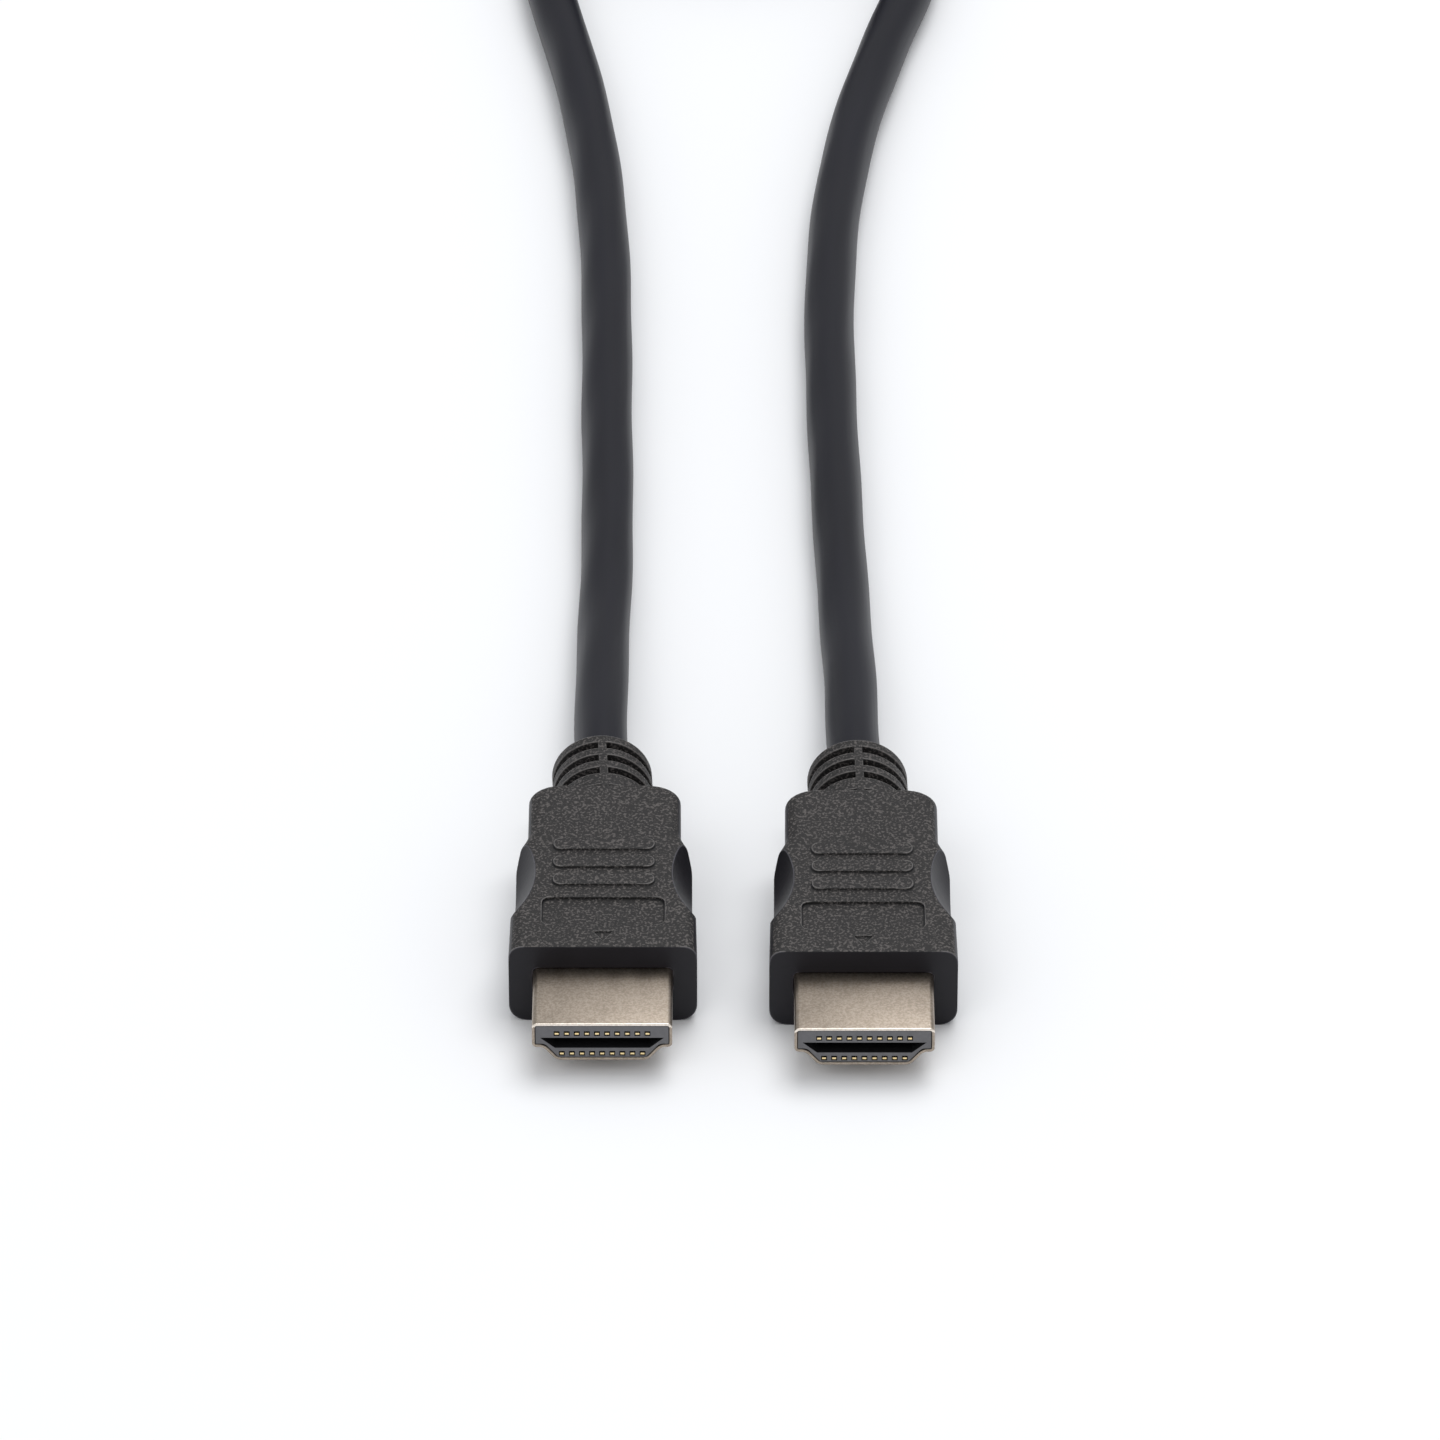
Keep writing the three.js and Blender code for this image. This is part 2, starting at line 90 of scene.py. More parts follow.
class Bench:
    """Hand modelling with Blender's operators."""

    @staticmethod
    def clear() -> None:
        """Deselects every object."""
        for obj in list(bpy.context.selected_objects):
            obj.select_set(False)

    @staticmethod
    def take(obj: bpy.types.Object) -> bpy.types.Object:
        """Selects one object alone and makes it active.

        Args:
            obj: the object.

        Returns:
            The same object.
        """
        Bench.clear()
        obj.select_set(True)
        bpy.context.view_layer.objects.active = obj
        return obj

    @staticmethod
    def settle(obj: bpy.types.Object) -> bpy.types.Object:
        """Puts an object's place, turn and size into its mesh.

        Args:
            obj: the object.

        Returns:
            The same object, at the origin, unturned and unscaled.
        """
        Bench.take(obj)
        bpy.ops.object.transform_apply(location=True, rotation=True, scale=True)
        return obj

    @staticmethod
    def cube(name: str, low: Sequence[float], high: Sequence[float]) -> bpy.types.Object:
        """Adds a box between two corners.

        Args:
            name: the new object's name.
            low: the lowest corner.
            high: the highest corner.

        Returns:
            The box, with its place in its mesh.
        """
        Bench.clear()
        middle = [(a + b) / 2 for a, b in zip(low, high)]
        bpy.ops.mesh.primitive_cube_add(size=1, location=middle)
        obj = bpy.context.active_object
        obj.name = name
        obj.scale = [b - a for a, b in zip(low, high)]
        return Bench.settle(obj)

    @staticmethod
    def pick(obj: bpy.types.Object, kind: str, test: Callable[[object], bool]) -> None:
        """Selects, in edit mode, the parts of a mesh that pass a test.

        Args:
            obj: the object in edit mode.
            kind: "verts", "edges" or "faces".
            test: says of one part whether it is selected.
        """
        mesh = bmesh.from_edit_mesh(obj.data)
        mesh.select_mode = {kind[:-1].upper()}
        for sort in (mesh.verts, mesh.edges, mesh.faces):
            for part in sort:
                part.select = False
        for part in getattr(mesh, kind):
            if test(part):
                part.select_set(True)
        mesh.select_flush_mode()
        bmesh.update_edit_mesh(obj.data)

    @staticmethod
    def bevel_edges(
        obj: bpy.types.Object, test: Callable[[object], bool], radius: float, segments: int
    ) -> None:
        """Rounds the edges of an object that pass a test.

        Args:
            obj: the object, in object mode.
            test: says of one edge whether it is rounded.
            radius: the rounding's radius.
            segments: how many steps the rounding has.
        """
        Bench.take(obj)
        bpy.ops.object.mode_set(mode="EDIT")
        Bench.pick(obj, "edges", test)
        bpy.ops.mesh.bevel(offset=radius, segments=segments, profile=0.5, affect="EDGES")
        bpy.ops.object.mode_set(mode="OBJECT")

    @staticmethod
    def apply(obj: bpy.types.Object, kind: str, **settings: object) -> None:
        """Adds a modifier with its settings and applies it.

        Args:
            obj: the object to change.
            kind: the modifier's type.
            settings: the modifier's own settings, by name.
        """
        Bench.take(obj)
        modifier = obj.modifiers.new(kind.lower(), kind)
        for name, value in settings.items():
            setattr(modifier, name, value)
        bpy.ops.object.modifier_apply(modifier=modifier.name)

    @staticmethod
    def cut(obj: bpy.types.Object, cutters: Iterable[bpy.types.Object]) -> None:
        """Takes each cutter's shape out of an object, and deletes the cutters.

        Args:
            obj: the object to cut.
            cutters: the closed shapes to take out of it.
        """
        for cutter in cutters:
            Bench.apply(obj, "BOOLEAN", operation="DIFFERENCE", solver="EXACT", object=cutter)
            bpy.data.objects.remove(cutter)

    @staticmethod
    def join(obj: bpy.types.Object, others: Iterable[bpy.types.Object]) -> bpy.types.Object:
        """Joins other objects into one.

        Args:
            obj: the object that takes the others in.
            others: the objects to take in.

        Returns:
            The joined object.
        """
        Bench.take(obj)
        for other in others:
            other.select_set(True)
        bpy.ops.object.join()
        return obj

    @staticmethod
    def copy(obj: bpy.types.Object, name: str) -> bpy.types.Object:
        """Copies an object with its mesh.

        Args:
            obj: the object to copy.
            name: the copy's name.

        Returns:
            The copy, with a mesh of its own.
        """
        twin = obj.copy()
        twin.data = obj.data.copy()
        twin.name = name
        bpy.context.scene.collection.objects.link(twin)
        return twin

    @staticmethod
    def mark_edges(obj: bpy.types.Object, radius: float, rounds: int) -> None:
        """Stores at each corner how sharply the surface bends: above 0 on edges, below in nooks.

        Args:
            obj: the object whose mesh gets the numbers.
            radius: the bend's radius that counts as 1.
            rounds: how often the numbers are evened out over the neighbours.
        """
        mesh = obj.data
        count = len(mesh.vertices)
        places, normals = np.empty(count * 3), np.empty(count * 3)
        pairs = np.empty(len(mesh.edges) * 2, dtype=np.int64)
        mesh.vertices.foreach_get("co", places)
        mesh.vertices.foreach_get("normal", normals)
        mesh.edges.foreach_get("vertices", pairs)
        places, normals, pairs = (each.reshape(-1, n) for each, n in
                                  ((places, 3), (normals, 3), (pairs, 2)))
        here = np.concatenate([pairs[:, 0], pairs[:, 1]])
        there = np.concatenate([pairs[:, 1], pairs[:, 0]])
        span = places[there] - places[here]
        bend = -2 * (span * normals[here]).sum(axis=1) / (span**2).sum(axis=1)
        share = np.bincount(here, minlength=count)
        value = np.bincount(here, weights=bend, minlength=count) / share * radius
        for _ in range(rounds):
            value = (value + np.bincount(here, weights=value[there], minlength=count) / share) / 2
        stored = mesh.attributes.new(EDGE, "FLOAT", "POINT")
        stored.data.foreach_set("value", np.clip(value, -1, 1).astype(np.float32))

    @staticmethod
    def smooth(obj: bpy.types.Object, angle: float) -> None:
        """Shades an object smooth below an angle in degrees."""
        Bench.take(obj)
        bpy.ops.object.shade_smooth_by_angle(angle=math.radians(angle))


class Signal:
    """A shader socket that takes part in Python sums; a sum adds its Math node."""

    def __init__(self, nodes: "Nodes", socket: bpy.types.NodeSocket) -> None:
        """Keeps the socket and the node tree that it lives in."""
        self.nodes = nodes
        self.socket = socket

    def math(self, operation: str, *values: object) -> "Signal":
        """The result of a Math node on some values, this signal among them."""
        return self.nodes.node("ShaderNodeMath", {"operation": operation}, dict(enumerate(values)))

    def __add__(self, other: object) -> "Signal":
        """This signal plus another value."""
        return self.math("ADD", self, other)

    __radd__ = __add__

    def __mul__(self, other: object) -> "Signal":
        """This signal times another value."""
        return self.math("MULTIPLY", self, other)

    __rmul__ = __mul__

    def __sub__(self, other: object) -> "Signal":
        """This signal less another value."""
        return self.math("SUBTRACT", self, other)

    def __rsub__(self, other: object) -> "Signal":
        """Another value less this signal."""
        return self.math("SUBTRACT", other, self)

    def above(self, low: float, high: float) -> "Signal":
        """0 below low, 1 above high, and smooth between them."""
        settings = {"interpolation_type": "SMOOTHSTEP"}
        return self.nodes.node("ShaderNodeMapRange", settings, {0: self, 1: low, 2: high})


class Nodes:
    """A material's node tree, with its Principled shader."""

    def __init__(self, name: str) -> None:
        """Starts a material whose tree has only a Principled shader and its output."""
        self.material = bpy.data.materials.new(name)
        self.material.use_nodes = True
        self.tree = self.material.node_tree
        self.shader = self.tree.nodes["Principled BSDF"]

    def node(
        self, kind: str, settings: dict[str, object], inputs: dict[object, object], out: object = 0
    ) -> Signal:
        """Adds any node.

        Args:
            kind: the node's type.
            settings: its own settings, which are set first.
            inputs: a value or a signal for each of its sockets.
            out: the output that is wanted.

        Returns:
            That output as a signal.
        """
        made = self.tree.nodes.new(kind)
        for name, value in settings.items():
            setattr(made, name, value)
        for key, value in inputs.items():
            self.feed(made.inputs[key], value)
        return Signal(self, made.outputs[out])

    def feed(self, socket: bpy.types.NodeSocket, value: object) -> None:
        """Links a signal to a socket, or sets the socket's own value.

        Args:
            socket: the input to feed.
            value: a signal, or a plain value.
        """
        if isinstance(value, Signal):
            self.tree.links.new(value.socket, socket)
        else:
            socket.default_value = value

    def place(self) -> Signal:
        """The point on the piece in its own coordinates, in metres."""
        return self.node("ShaderNodeTexCoord", {}, {}, "Object")

    def noise(self, where: Signal, size: float, detail: float = 2.0, rough: float = 0.5) -> Signal:
        """Noise from 0 to 1 whose blobs are about one size, in metres."""
        inputs = {"Vector": where, "Scale": 1 / size, "Detail": detail, "Roughness": rough}
        return self.node("ShaderNodeTexNoise", {}, inputs, 0)

    def stretched(self, where: Signal, scale: Point) -> Signal:
        """A place stretched along its axes."""
        return self.node("ShaderNodeMapping", {}, {"Vector": where, "Scale": scale})

    def mix(self, share: Signal, low: "Colour", high: "Colour") -> Signal:
        """Mixes two colours.

        Args:
            share: how much of the second colour there is, from 0 to 1.
            low: the first colour.
            high: the second colour.

        Returns:
            The mixed colour.
        """
        ends = [end if isinstance(end, Signal) else (*end, 1) for end in (low, high)]
        inputs = {0: share, 6: ends[0], 7: ends[1]}
        return self.node("ShaderNodeMix", {"data_type": "RGBA"}, inputs, 2)

    def stored(self, name: str) -> Signal:
        """A number that the mesh stores at each of its corners."""
        return self.node("ShaderNodeAttribute", {"attribute_name": name}, {}, "Fac")

    def bump(self, height: Signal, depth: float, strength: float = 1.0) -> Signal:
        """A normal from a height of 0 to 1 that stands for a depth in metres."""
        inputs = {"Height": height, "Distance": depth, "Strength": strength}
        return self.node("ShaderNodeBump", {}, inputs)

    def finish(self, **sockets: object) -> bpy.types.Material:
        """Feeds the shader's sockets.

        Args:
            sockets: a value or a signal for each socket, by its name with _ for a space.

        Returns:
            The finished material.
        """
        for name, value in sockets.items():
            self.feed(self.shader.inputs[name.replace("_", " ")], value)
        return self.material


Colour = Signal | Point


@dataclass(frozen=True)
class MouldedGrain:
    """Spark-eroded matte PVC of the grips, with painted highlights along its edges and painted shade
    in its nooks.
    """

    dark: Point = (0.004, 0.0036, 0.0038)
    light: Point = (0.1, 0.09, 0.086)
    # Painted highlight: the lighter colour laid along the grip's edges.
    edge: Point = (0.16, 0.15, 0.145)
    # Painted shade: the near-black colour laid in the grip's nooks.
    painted_nook_shade: Point = (0.002, 0.002, 0.0025)
    grain: float = 0.27 * MM
    depth: float = 0.05 * MM

    def build(self) -> bpy.types.Material:
        """Makes the grained material."""
        nodes = Nodes("grip_pvc_grained")
        where = nodes.place()
        grain = nodes.noise(where, self.grain, 2.0, 0.6)
        clouds = nodes.noise(where, 2.4 * MM, 2.0)
        speck = grain.above(0.5, 0.64)
        edge = nodes.stored(EDGE)
        skin = nodes.mix(speck * 0.85 + clouds * 0.15, self.dark, self.light)
        # Painted shade in the nooks, where the surface bends inwards.
        nook_shaded = nodes.mix((0 - edge).above(0.1, 0.45), skin, self.painted_nook_shade)
        # Painted highlight along the edges, where the surface bends outwards.
        colour = nodes.mix(edge.above(0.2, 0.9) * 0.75, nook_shaded, self.edge)
        rough = 0.62 + (clouds - 0.5) * 0.12 - edge.above(0.1, 0.6) * 0.2
        bump = nodes.bump(grain, self.depth, 0.9)
        nodes.shader.inputs["Specular IOR Level"].default_value = 0.4
        return nodes.finish(Base_Color=colour, Roughness=rough, Normal=bump)


@dataclass(frozen=True)
class MouldedSmooth:
    """The same PVC where it is smooth: front faces, side walls and thumb hollows, with a painted
    highlight along its edges.
    """

    colour: Point = (0.0065, 0.006, 0.0085)
    sheen: Point = (0.013, 0.012, 0.0165)
    # Painted highlight: the lighter colour laid along the smooth faces' edges.
    edge: Point = (0.09, 0.088, 0.1)

    def build(self) -> bpy.types.Material:
        """Makes the smooth material."""
        nodes = Nodes("grip_pvc_smooth")
        where = nodes.place()
        clouds = nodes.noise(where, 3.5 * MM, 3.0)
        fine = nodes.noise(where, 0.3 * MM, 2.0)
        bump = nodes.bump(fine, 0.006 * MM, 0.6)
        # Where the surface bends outwards; the colour below lightens there as a painted highlight.
        edge = nodes.stored(EDGE).above(0.15, 0.8)
        nodes.shader.inputs["Specular IOR Level"].default_value = 0.3
        skin = nodes.mix(clouds, self.colour, self.sheen)
        return nodes.finish(
            Base_Color=nodes.mix(edge, skin, self.edge),
            Roughness=0.44 + (clouds - 0.5) * 0.15 - edge * 0.12,
            Normal=bump,
        )


@dataclass(frozen=True)
class Jacket:
    """Satin PVC of the cable, faintly streaked along its length."""

    dark: Point = (0.0025, 0.0025, 0.005)
    light: Point = (0.008, 0.0085, 0.0165)

    def build(self) -> bpy.types.Material:
        """Makes the jacket's material on the tube's own UV map, in metres."""
        nodes = Nodes("cable_pvc")
        along = nodes.node("ShaderNodeUVMap", {"uv_map": "lay"}, {})
        streaks = nodes.noise(nodes.stretched(along, (1.0, 0.05, 1.0)), 1.1 * MM, 3.0, 0.6)
        fine = nodes.noise(nodes.place(), 0.25 * MM, 2.0)
        smears = nodes.noise(nodes.stretched(along, (0.5, 0.12, 1.0)), 4.0 * MM, 2.0)
        rough = 0.3 + streaks * 0.14 + smears * 0.1
        bump = nodes.bump(streaks * 0.8 + fine * 0.2, 0.03 * MM, 0.55)
        nodes.shader.inputs["Specular IOR Level"].default_value = 0.26
        colour = nodes.mix(streaks * 0.5 + smears * 0.5, self.dark, self.light)
        return nodes.finish(Base_Color=colour, Roughness=rough, Normal=bump)


@dataclass(frozen=True)
class NickelPlate:
    """Warm satin nickel of the shells, with a fine drawn grain."""

    name: str = "shell_nickel"
    dark: Point = (0.27, 0.225, 0.18)
    light: Point = (0.42, 0.36, 0.30)

    def build(self) -> bpy.types.Material:
        """Makes the nickel's material."""
        nodes = Nodes(self.name)
        where = nodes.place()
        grain = nodes.noise(where, 0.24 * MM, 3.0, 0.65)
        swirl = nodes.noise(nodes.stretched(where, (1.0, 0.45, 1.0)), 1.6 * MM, 3.0, 0.55)
        colour = nodes.mix(swirl * 0.3 + grain.above(0.36, 0.64) * 0.7, self.dark, self.light)
        bump = nodes.bump(grain, 0.02 * MM, 0.7)
        return nodes.finish(
            Base_Color=colour,
            Metallic=1.0,
            Roughness=0.24 + swirl * 0.16,
            Normal=bump,
        )


@dataclass(frozen=True)
class InsulatorPlastic:
    """Dark grey moulding of the insulator blocks."""

    dark: Point = (0.095, 0.094, 0.1)
    light: Point = (0.145, 0.143, 0.15)
    # Painted shade: near black laid on the slots' walls, where little light gets in.
    walls: Point = (0.006, 0.006, 0.007)

    def build(self) -> bpy.types.Material:
        """Makes the insulator's material: grey on its front face, and painted shade, near black, on
        every face that doesn't look forward, such as its slots' walls.
        """
        nodes = Nodes("insulator_plastic")
        where = nodes.place()
        clouds = nodes.noise(where, 0.5 * MM, 3.0)
        bump = nodes.bump(nodes.noise(where, 0.12 * MM), 0.008 * MM, 0.6)
        facing = nodes.node("ShaderNodeTexCoord", {}, {}, "Normal")
        back = nodes.node("ShaderNodeSeparateXYZ", {}, {0: facing}, "Y")
        front = (0 - back).above(0.5, 0.9)
        face = nodes.mix(clouds, self.dark, self.light)
        return nodes.finish(
            # Painted shade on every face but the forward-looking one.
            Base_Color=nodes.mix(front, self.walls, face),
            Roughness=0.48 + clouds * 0.12,
            Normal=bump,
        )


@dataclass(frozen=True)
class GoldPlate:
    """Bright gold plate of the contacts."""

    dark: Point = (0.86, 0.62, 0.27)
    light: Point = (1.0, 0.84, 0.5)

    def build(self) -> bpy.types.Material:
        """Makes the gold's material."""
        nodes = Nodes("contact_gold")
        clouds = nodes.noise(nodes.place(), 0.4 * MM, 3.0)
        return nodes.finish(
            Base_Color=nodes.mix(clouds, self.dark, self.light),
            Metallic=1.0,
            Roughness=0.18 + clouds * 0.16,
        )


@dataclass(frozen=True)
class TiePlastic:
    """Black band of the hank's tie, faintly woven across."""

    dark: Point = (0.006, 0.006, 0.0065)
    light: Point = (0.02, 0.02, 0.021)

    def build(self) -> bpy.types.Material:
        """Makes the tie's material."""
        nodes = Nodes("tie_plastic")
        where = nodes.place()
        weave = nodes.noise(nodes.stretched(where, (1.0, 4.0, 1.0)), 0.8 * MM, 3.0)
        return nodes.finish(
            Base_Color=nodes.mix(weave, self.dark, self.light),
            Roughness=0.45 + weave * 0.2,
            Normal=nodes.bump(weave, 0.04 * MM, 0.6),
        )


@dataclass
class ShellForm:
    """The D-shaped section that the shell and its pocket in the grip share, and its stations."""

    half: float = 6.95 * MM
    height: float = 4.45 * MM
    shelf_height: float = 1.6 * MM
    shelf_half: float = 5.85 * MM
    keel_half: float = 4.53 * MM
    top_corner: float = 0.5 * MM
    low_corner: float = 0.42 * MM
    lift: float = 1.95 * MM
    wall: float = 0.3 * MM
    reach: float = 9.4 * MM
    seat: float = 2.95 * MM
    lip: float = 0.1 * MM
    shelf_step: float = 0.02 * MM
    shelf_growth: float = 0.4

    def block(self, name: str, margin: float, front: float, back: float) -> bpy.types.Object:
        """Makes a solid of the D section between two stations.

        Args:
            name: the object's name.
            margin: how far the section is grown outwards.
            front: the station of its front face.
            back: the station of its back face.

        Returns:
            The solid, centred on X 0.
        """
        half = self.half + margin
        top = self.lift + self.height + margin
        bottom = self.lift - margin
        ledge = self.lift + self.shelf_height - margin * self.shelf_growth
        under = ledge - self.shelf_step
        obj = Bench.cube(name, (-half, front, bottom), (half, back, top))
        bpy.ops.object.mode_set(mode="EDIT")
        for height in (ledge, under):
            bpy.ops.mesh.select_all(action="SELECT")
            bpy.ops.mesh.bisect(
                plane_co=(0, 0, height), plane_no=(0, 0, 1), threshold=self.shelf_step / 20
            )
        for height, wanted in ((under, self.shelf_half), (bottom, self.keel_half)):
            Bench.pick(obj, "verts", lambda vert: abs(vert.co.z - height) < self.shelf_step / 2)
            ratio = (wanted + margin) / half
            bpy.ops.transform.resize(value=(ratio, 1, 1), center_override=(0, front, height))
        for way in (-1, 1):
            Bench.pick(obj, "faces", lambda face: face.normal.y * way > 0.9)
            bpy.ops.mesh.dissolve_faces()
        bpy.ops.object.mode_set(mode="OBJECT")

        def along(edge: bmesh.types.BMEdge, low: float, high: float) -> bool:
            """Whether an edge runs along the plug between two heights."""
            a, b = edge.verts
            return abs(a.co.y - b.co.y) > MM and low < a.co.z < high

        edge_room = self.shelf_step / 2
        Bench.bevel_edges(
            obj, lambda edge: along(edge, bottom - edge_room, ledge + edge_room), self.low_corner, 4
        )
        Bench.bevel_edges(
            obj, lambda edge: along(edge, top - edge_room, top + edge_room),
            self.top_corner + margin, 5,
        )
        return obj

    def tube(self, name: str) -> bpy.types.Object:
        """Makes the shell itself: an open D tube of sheet with a rounded lip.

        Args:
            name: the object's name.

        Returns:
            The tube, centred on X 0.
        """
        obj = self.block(name, 0.0, -self.reach, self.seat)
        bpy.ops.object.mode_set(mode="EDIT")
        Bench.pick(obj, "faces", lambda face: abs(face.normal.y) > 0.9)
        bpy.ops.mesh.delete(type="ONLY_FACE")
        bpy.ops.object.mode_set(mode="OBJECT")
        Bench.apply(obj, "SOLIDIFY", thickness=self.wall, offset=-1.0, use_even_offset=True)
        front = -self.reach

        def lip(edge: bmesh.types.BMEdge) -> bool:
            """Whether an edge lies round the front rim."""
            return all(abs(vert.co.y - front) < 0.01 * MM for vert in edge.verts) and (
                edge.calc_face_angle(0.0) > 1.0
            )

        Bench.bevel_edges(obj, lip, self.lip, 3)
        Bench.smooth(obj, 40)
        return obj


@dataclass
class Grip:
    """The moulded grip and its strain relief, one moulding round the shell's rear."""

    length: float = 26.4 * MM
    front_height: float = 9.05 * MM
    front_half: float = 9.41 * MM
    shoulder_half: float = 9.27 * MM
    shoulder_start: float = 7.4 * MM
    shoulder_length: float = 2.0 * MM
    waist_half: float = 8.88 * MM
    flare_start: float = 15.3 * MM
    flare_length: float = 4.1 * MM
    rear_half: float = 7.72 * MM
    rear_corner: float = 1.6 * MM
    top_edge: float = 1.35 * MM
    low_edge: float = 1.8 * MM
    boot_radius: float = 5.13 * MM
    boot_base: float = 2.25 * MM
    groove: float = 1.13 * MM
    ring: float = 1.1 * MM
    rings: int = 3
    groove_depth: float = 1.3 * MM
    rib_half: float = 0.42 * MM
    pads: int = 3
    first_pad: float = 10.7 * MM
    pad_pitch: float = 2.88 * MM
    pad_size: tuple[float, float] = (10.2 * MM, 1.78 * MM)
    pad_height: float = 0.3 * MM
    crease_depth: float = 0.2 * MM
    crease_width: float = 0.3 * MM
    panel_size: tuple[float, float] = (12.3 * MM, 4.4 * MM)
    panel_centre: float = 5.84 * MM
    panel_depth: float = 0.38 * MM
    arrow_half: float = 0.95 * MM
    arrow_tip: float = 1.3 * MM
    arrow_length: float = 1.5 * MM
    arrow_depth: float = 0.22 * MM
    hollow_radius: float = 12.5 * MM
    hollow_station: float = 12.0 * MM
    hollow_outset: float = 9.7 * MM
    hollow_rise: float = 4.5 * MM
    clearance: float = 0.04 * MM
    boot_root: float = 1.5 * MM
    boot_sides: int = 72
    rib_inset: float = 0.1 * MM
    pad_rounding: float = 0.45
    panel_corner: float = 0.8 * MM
    smooth_front: float = 0.25 * MM
    front_facing: float = -0.6
    side_facing: float = 0.8
    hollow_skin: float = 0.1 * MM
    voxel: float = 0.1 * MM
    kept_share: float = 0.34
    edge_radius: float = 0.2 * MM
    edge_rounds: int = 2

    @property
    def slope(self) -> float:
        """The top face's slope, in radians."""
        return math.atan2(2 * self.boot_radius - self.front_height, self.length)

    @property
    def boot_length(self) -> float:
        """How far the strain relief stands out behind the grip."""
        return self.boot_base + self.rings * (self.groove + self.ring)

    def half_width(self, station: float) -> float:
        """Half the grip's width at one place along it.

        Args:
            station: how far the place lies behind the front face.

        Returns:
            The half width there, with the rear corner's rounding.
        """
        taper = min(station / self.shoulder_start, 1.0)
        shoulder = ease((station - self.shoulder_start) / self.shoulder_length)
        flare = ease((station - self.flare_start) / self.flare_length)
        into_corner = max(station - (self.length - self.rear_corner), 0.0)
        half = (
            self.front_half
            + (self.shoulder_half - self.front_half) * taper
            + (self.waist_half - self.shoulder_half) * shoulder
            + (self.rear_half - self.waist_half) * flare
        )
        left = max(self.rear_corner**2 - into_corner**2, 0.0)
        return half - self.rear_corner + math.sqrt(left)

    def top(self, station: float) -> float:
        """The top face's height at a station."""
        return self.front_height + station * math.tan(self.slope)

    def stations(self) -> list[float]:
        """The places along the grip where its section is set.

        Returns:
            Stations through the shoulder, the flare and the rear corner.
        """
        shoulder = [self.shoulder_start + self.shoulder_length * k / 8 for k in range(9)]
        flare = [self.flare_start + self.flare_length * k / 12 for k in range(13)]
        arc = [math.sin(math.radians(90 * k / 10)) for k in range(10)]
        corner = [self.length - self.rear_corner * (1 - s) for s in arc]
        return [*shoulder, *flare, *corner]

    def body(self) -> bpy.types.Object:
        """Models the grip's body: a box cut at its stations, each ring drawn to its width.

        Returns:
            The body with its long edges rounded.
        """
        half, height = self.front_half, self.front_height
        obj = Bench.cube("grip", (-half, 0, 0), (half, self.length, height))
        bpy.ops.object.mode_set(mode="EDIT")
        for station in self.stations():
            bpy.ops.mesh.select_all(action="SELECT")
            bpy.ops.mesh.bisect(plane_co=(0, station, 0), plane_no=(0, 1, 0))
        for station in [*self.stations(), self.length]:
            self.shape_ring(obj, station)
        bpy.ops.object.mode_set(mode="OBJECT")

        def along(edge: bmesh.types.BMEdge, high: bool) -> bool:
            """Whether an edge runs along the grip, on its top or its underside."""
            a, b = edge.verts
            return abs(a.co.y - b.co.y) > 1e-6 and (a.co.z > height / 2) == high

        Bench.bevel_edges(obj, lambda edge: along(edge, True), self.top_edge, 7)
        Bench.bevel_edges(obj, lambda edge: along(edge, False), self.low_edge, 7)
        return obj

    def shape_ring(self, obj: bpy.types.Object, station: float) -> None:
        """Draws one ring of the body to its width and lifts its top edge.

        Args:
            obj: the body, in edit mode.
            station: where the ring lies.
        """
        ratio = self.half_width(station) / self.front_half
        rise = self.top(station) - self.front_height

        def here(vert: bmesh.types.BMVert) -> bool:
            """Whether a corner belongs to the ring."""
            return abs(vert.co.y - station) < 0.004 * MM

        Bench.pick(obj, "verts", here)
        bpy.ops.transform.resize(value=(ratio, 1, 1), center_override=(0, station, 0))
        Bench.pick(obj, "verts", lambda vert: here(vert) and vert.co.z > self.front_height / 2)
        bpy.ops.transform.translate(value=(0, 0, rise))

    def boot(self) -> list[bpy.types.Object]:
        """Models the strain relief: a disc drawn out ring by ring, and the rib across it.

        Returns:
            The rings and the rib.
        """
        outer, inner = self.boot_radius, self.boot_radius - self.groove_depth
        crease = outer - self.crease_depth
        steps = [(inner, self.boot_root), (crease, 0.0), (crease, self.crease_width)]
        steps += [(outer, 0.0), (outer, self.boot_base - self.crease_width)]
        for _ in range(self.rings):
            steps += [(inner, 0.0), (inner, self.groove), (outer, 0.0), (outer, self.ring)]
        Bench.clear()
        start = (0, self.length - self.boot_root, outer)
        bpy.ops.mesh.primitive_circle_add(
            vertices=self.boot_sides, radius=inner, fill_type="NGON",
            location=start, rotation=(math.pi / 2, 0, 0),
        )
        obj = Bench.settle(bpy.context.active_object)
        bpy.ops.object.mode_set(mode="EDIT")
        bpy.ops.mesh.select_all(action="SELECT")
        radius, station = inner, start[1]
        for wanted, move in steps:
            bpy.ops.mesh.extrude_region_move(TRANSFORM_OT_translate={"value": (0, move, 0)})
            station += move
            ratio = wanted / radius
            centre = (0, station, outer)
            bpy.ops.transform.resize(value=(ratio, 1, ratio), center_override=centre)
            radius = wanted
        bpy.ops.mesh.select_all(action="SELECT")
        bpy.ops.mesh.normals_make_consistent(inside=False)
        bpy.ops.object.mode_set(mode="OBJECT")
        rib_back = self.length + self.boot_length - self.ring / 2
        low = (-self.rib_half, self.length, self.rib_inset)
        high = (self.rib_half, rib_back, 2 * outer - self.rib_inset)
        return [obj, Bench.cube("boot_rib", low, high)]

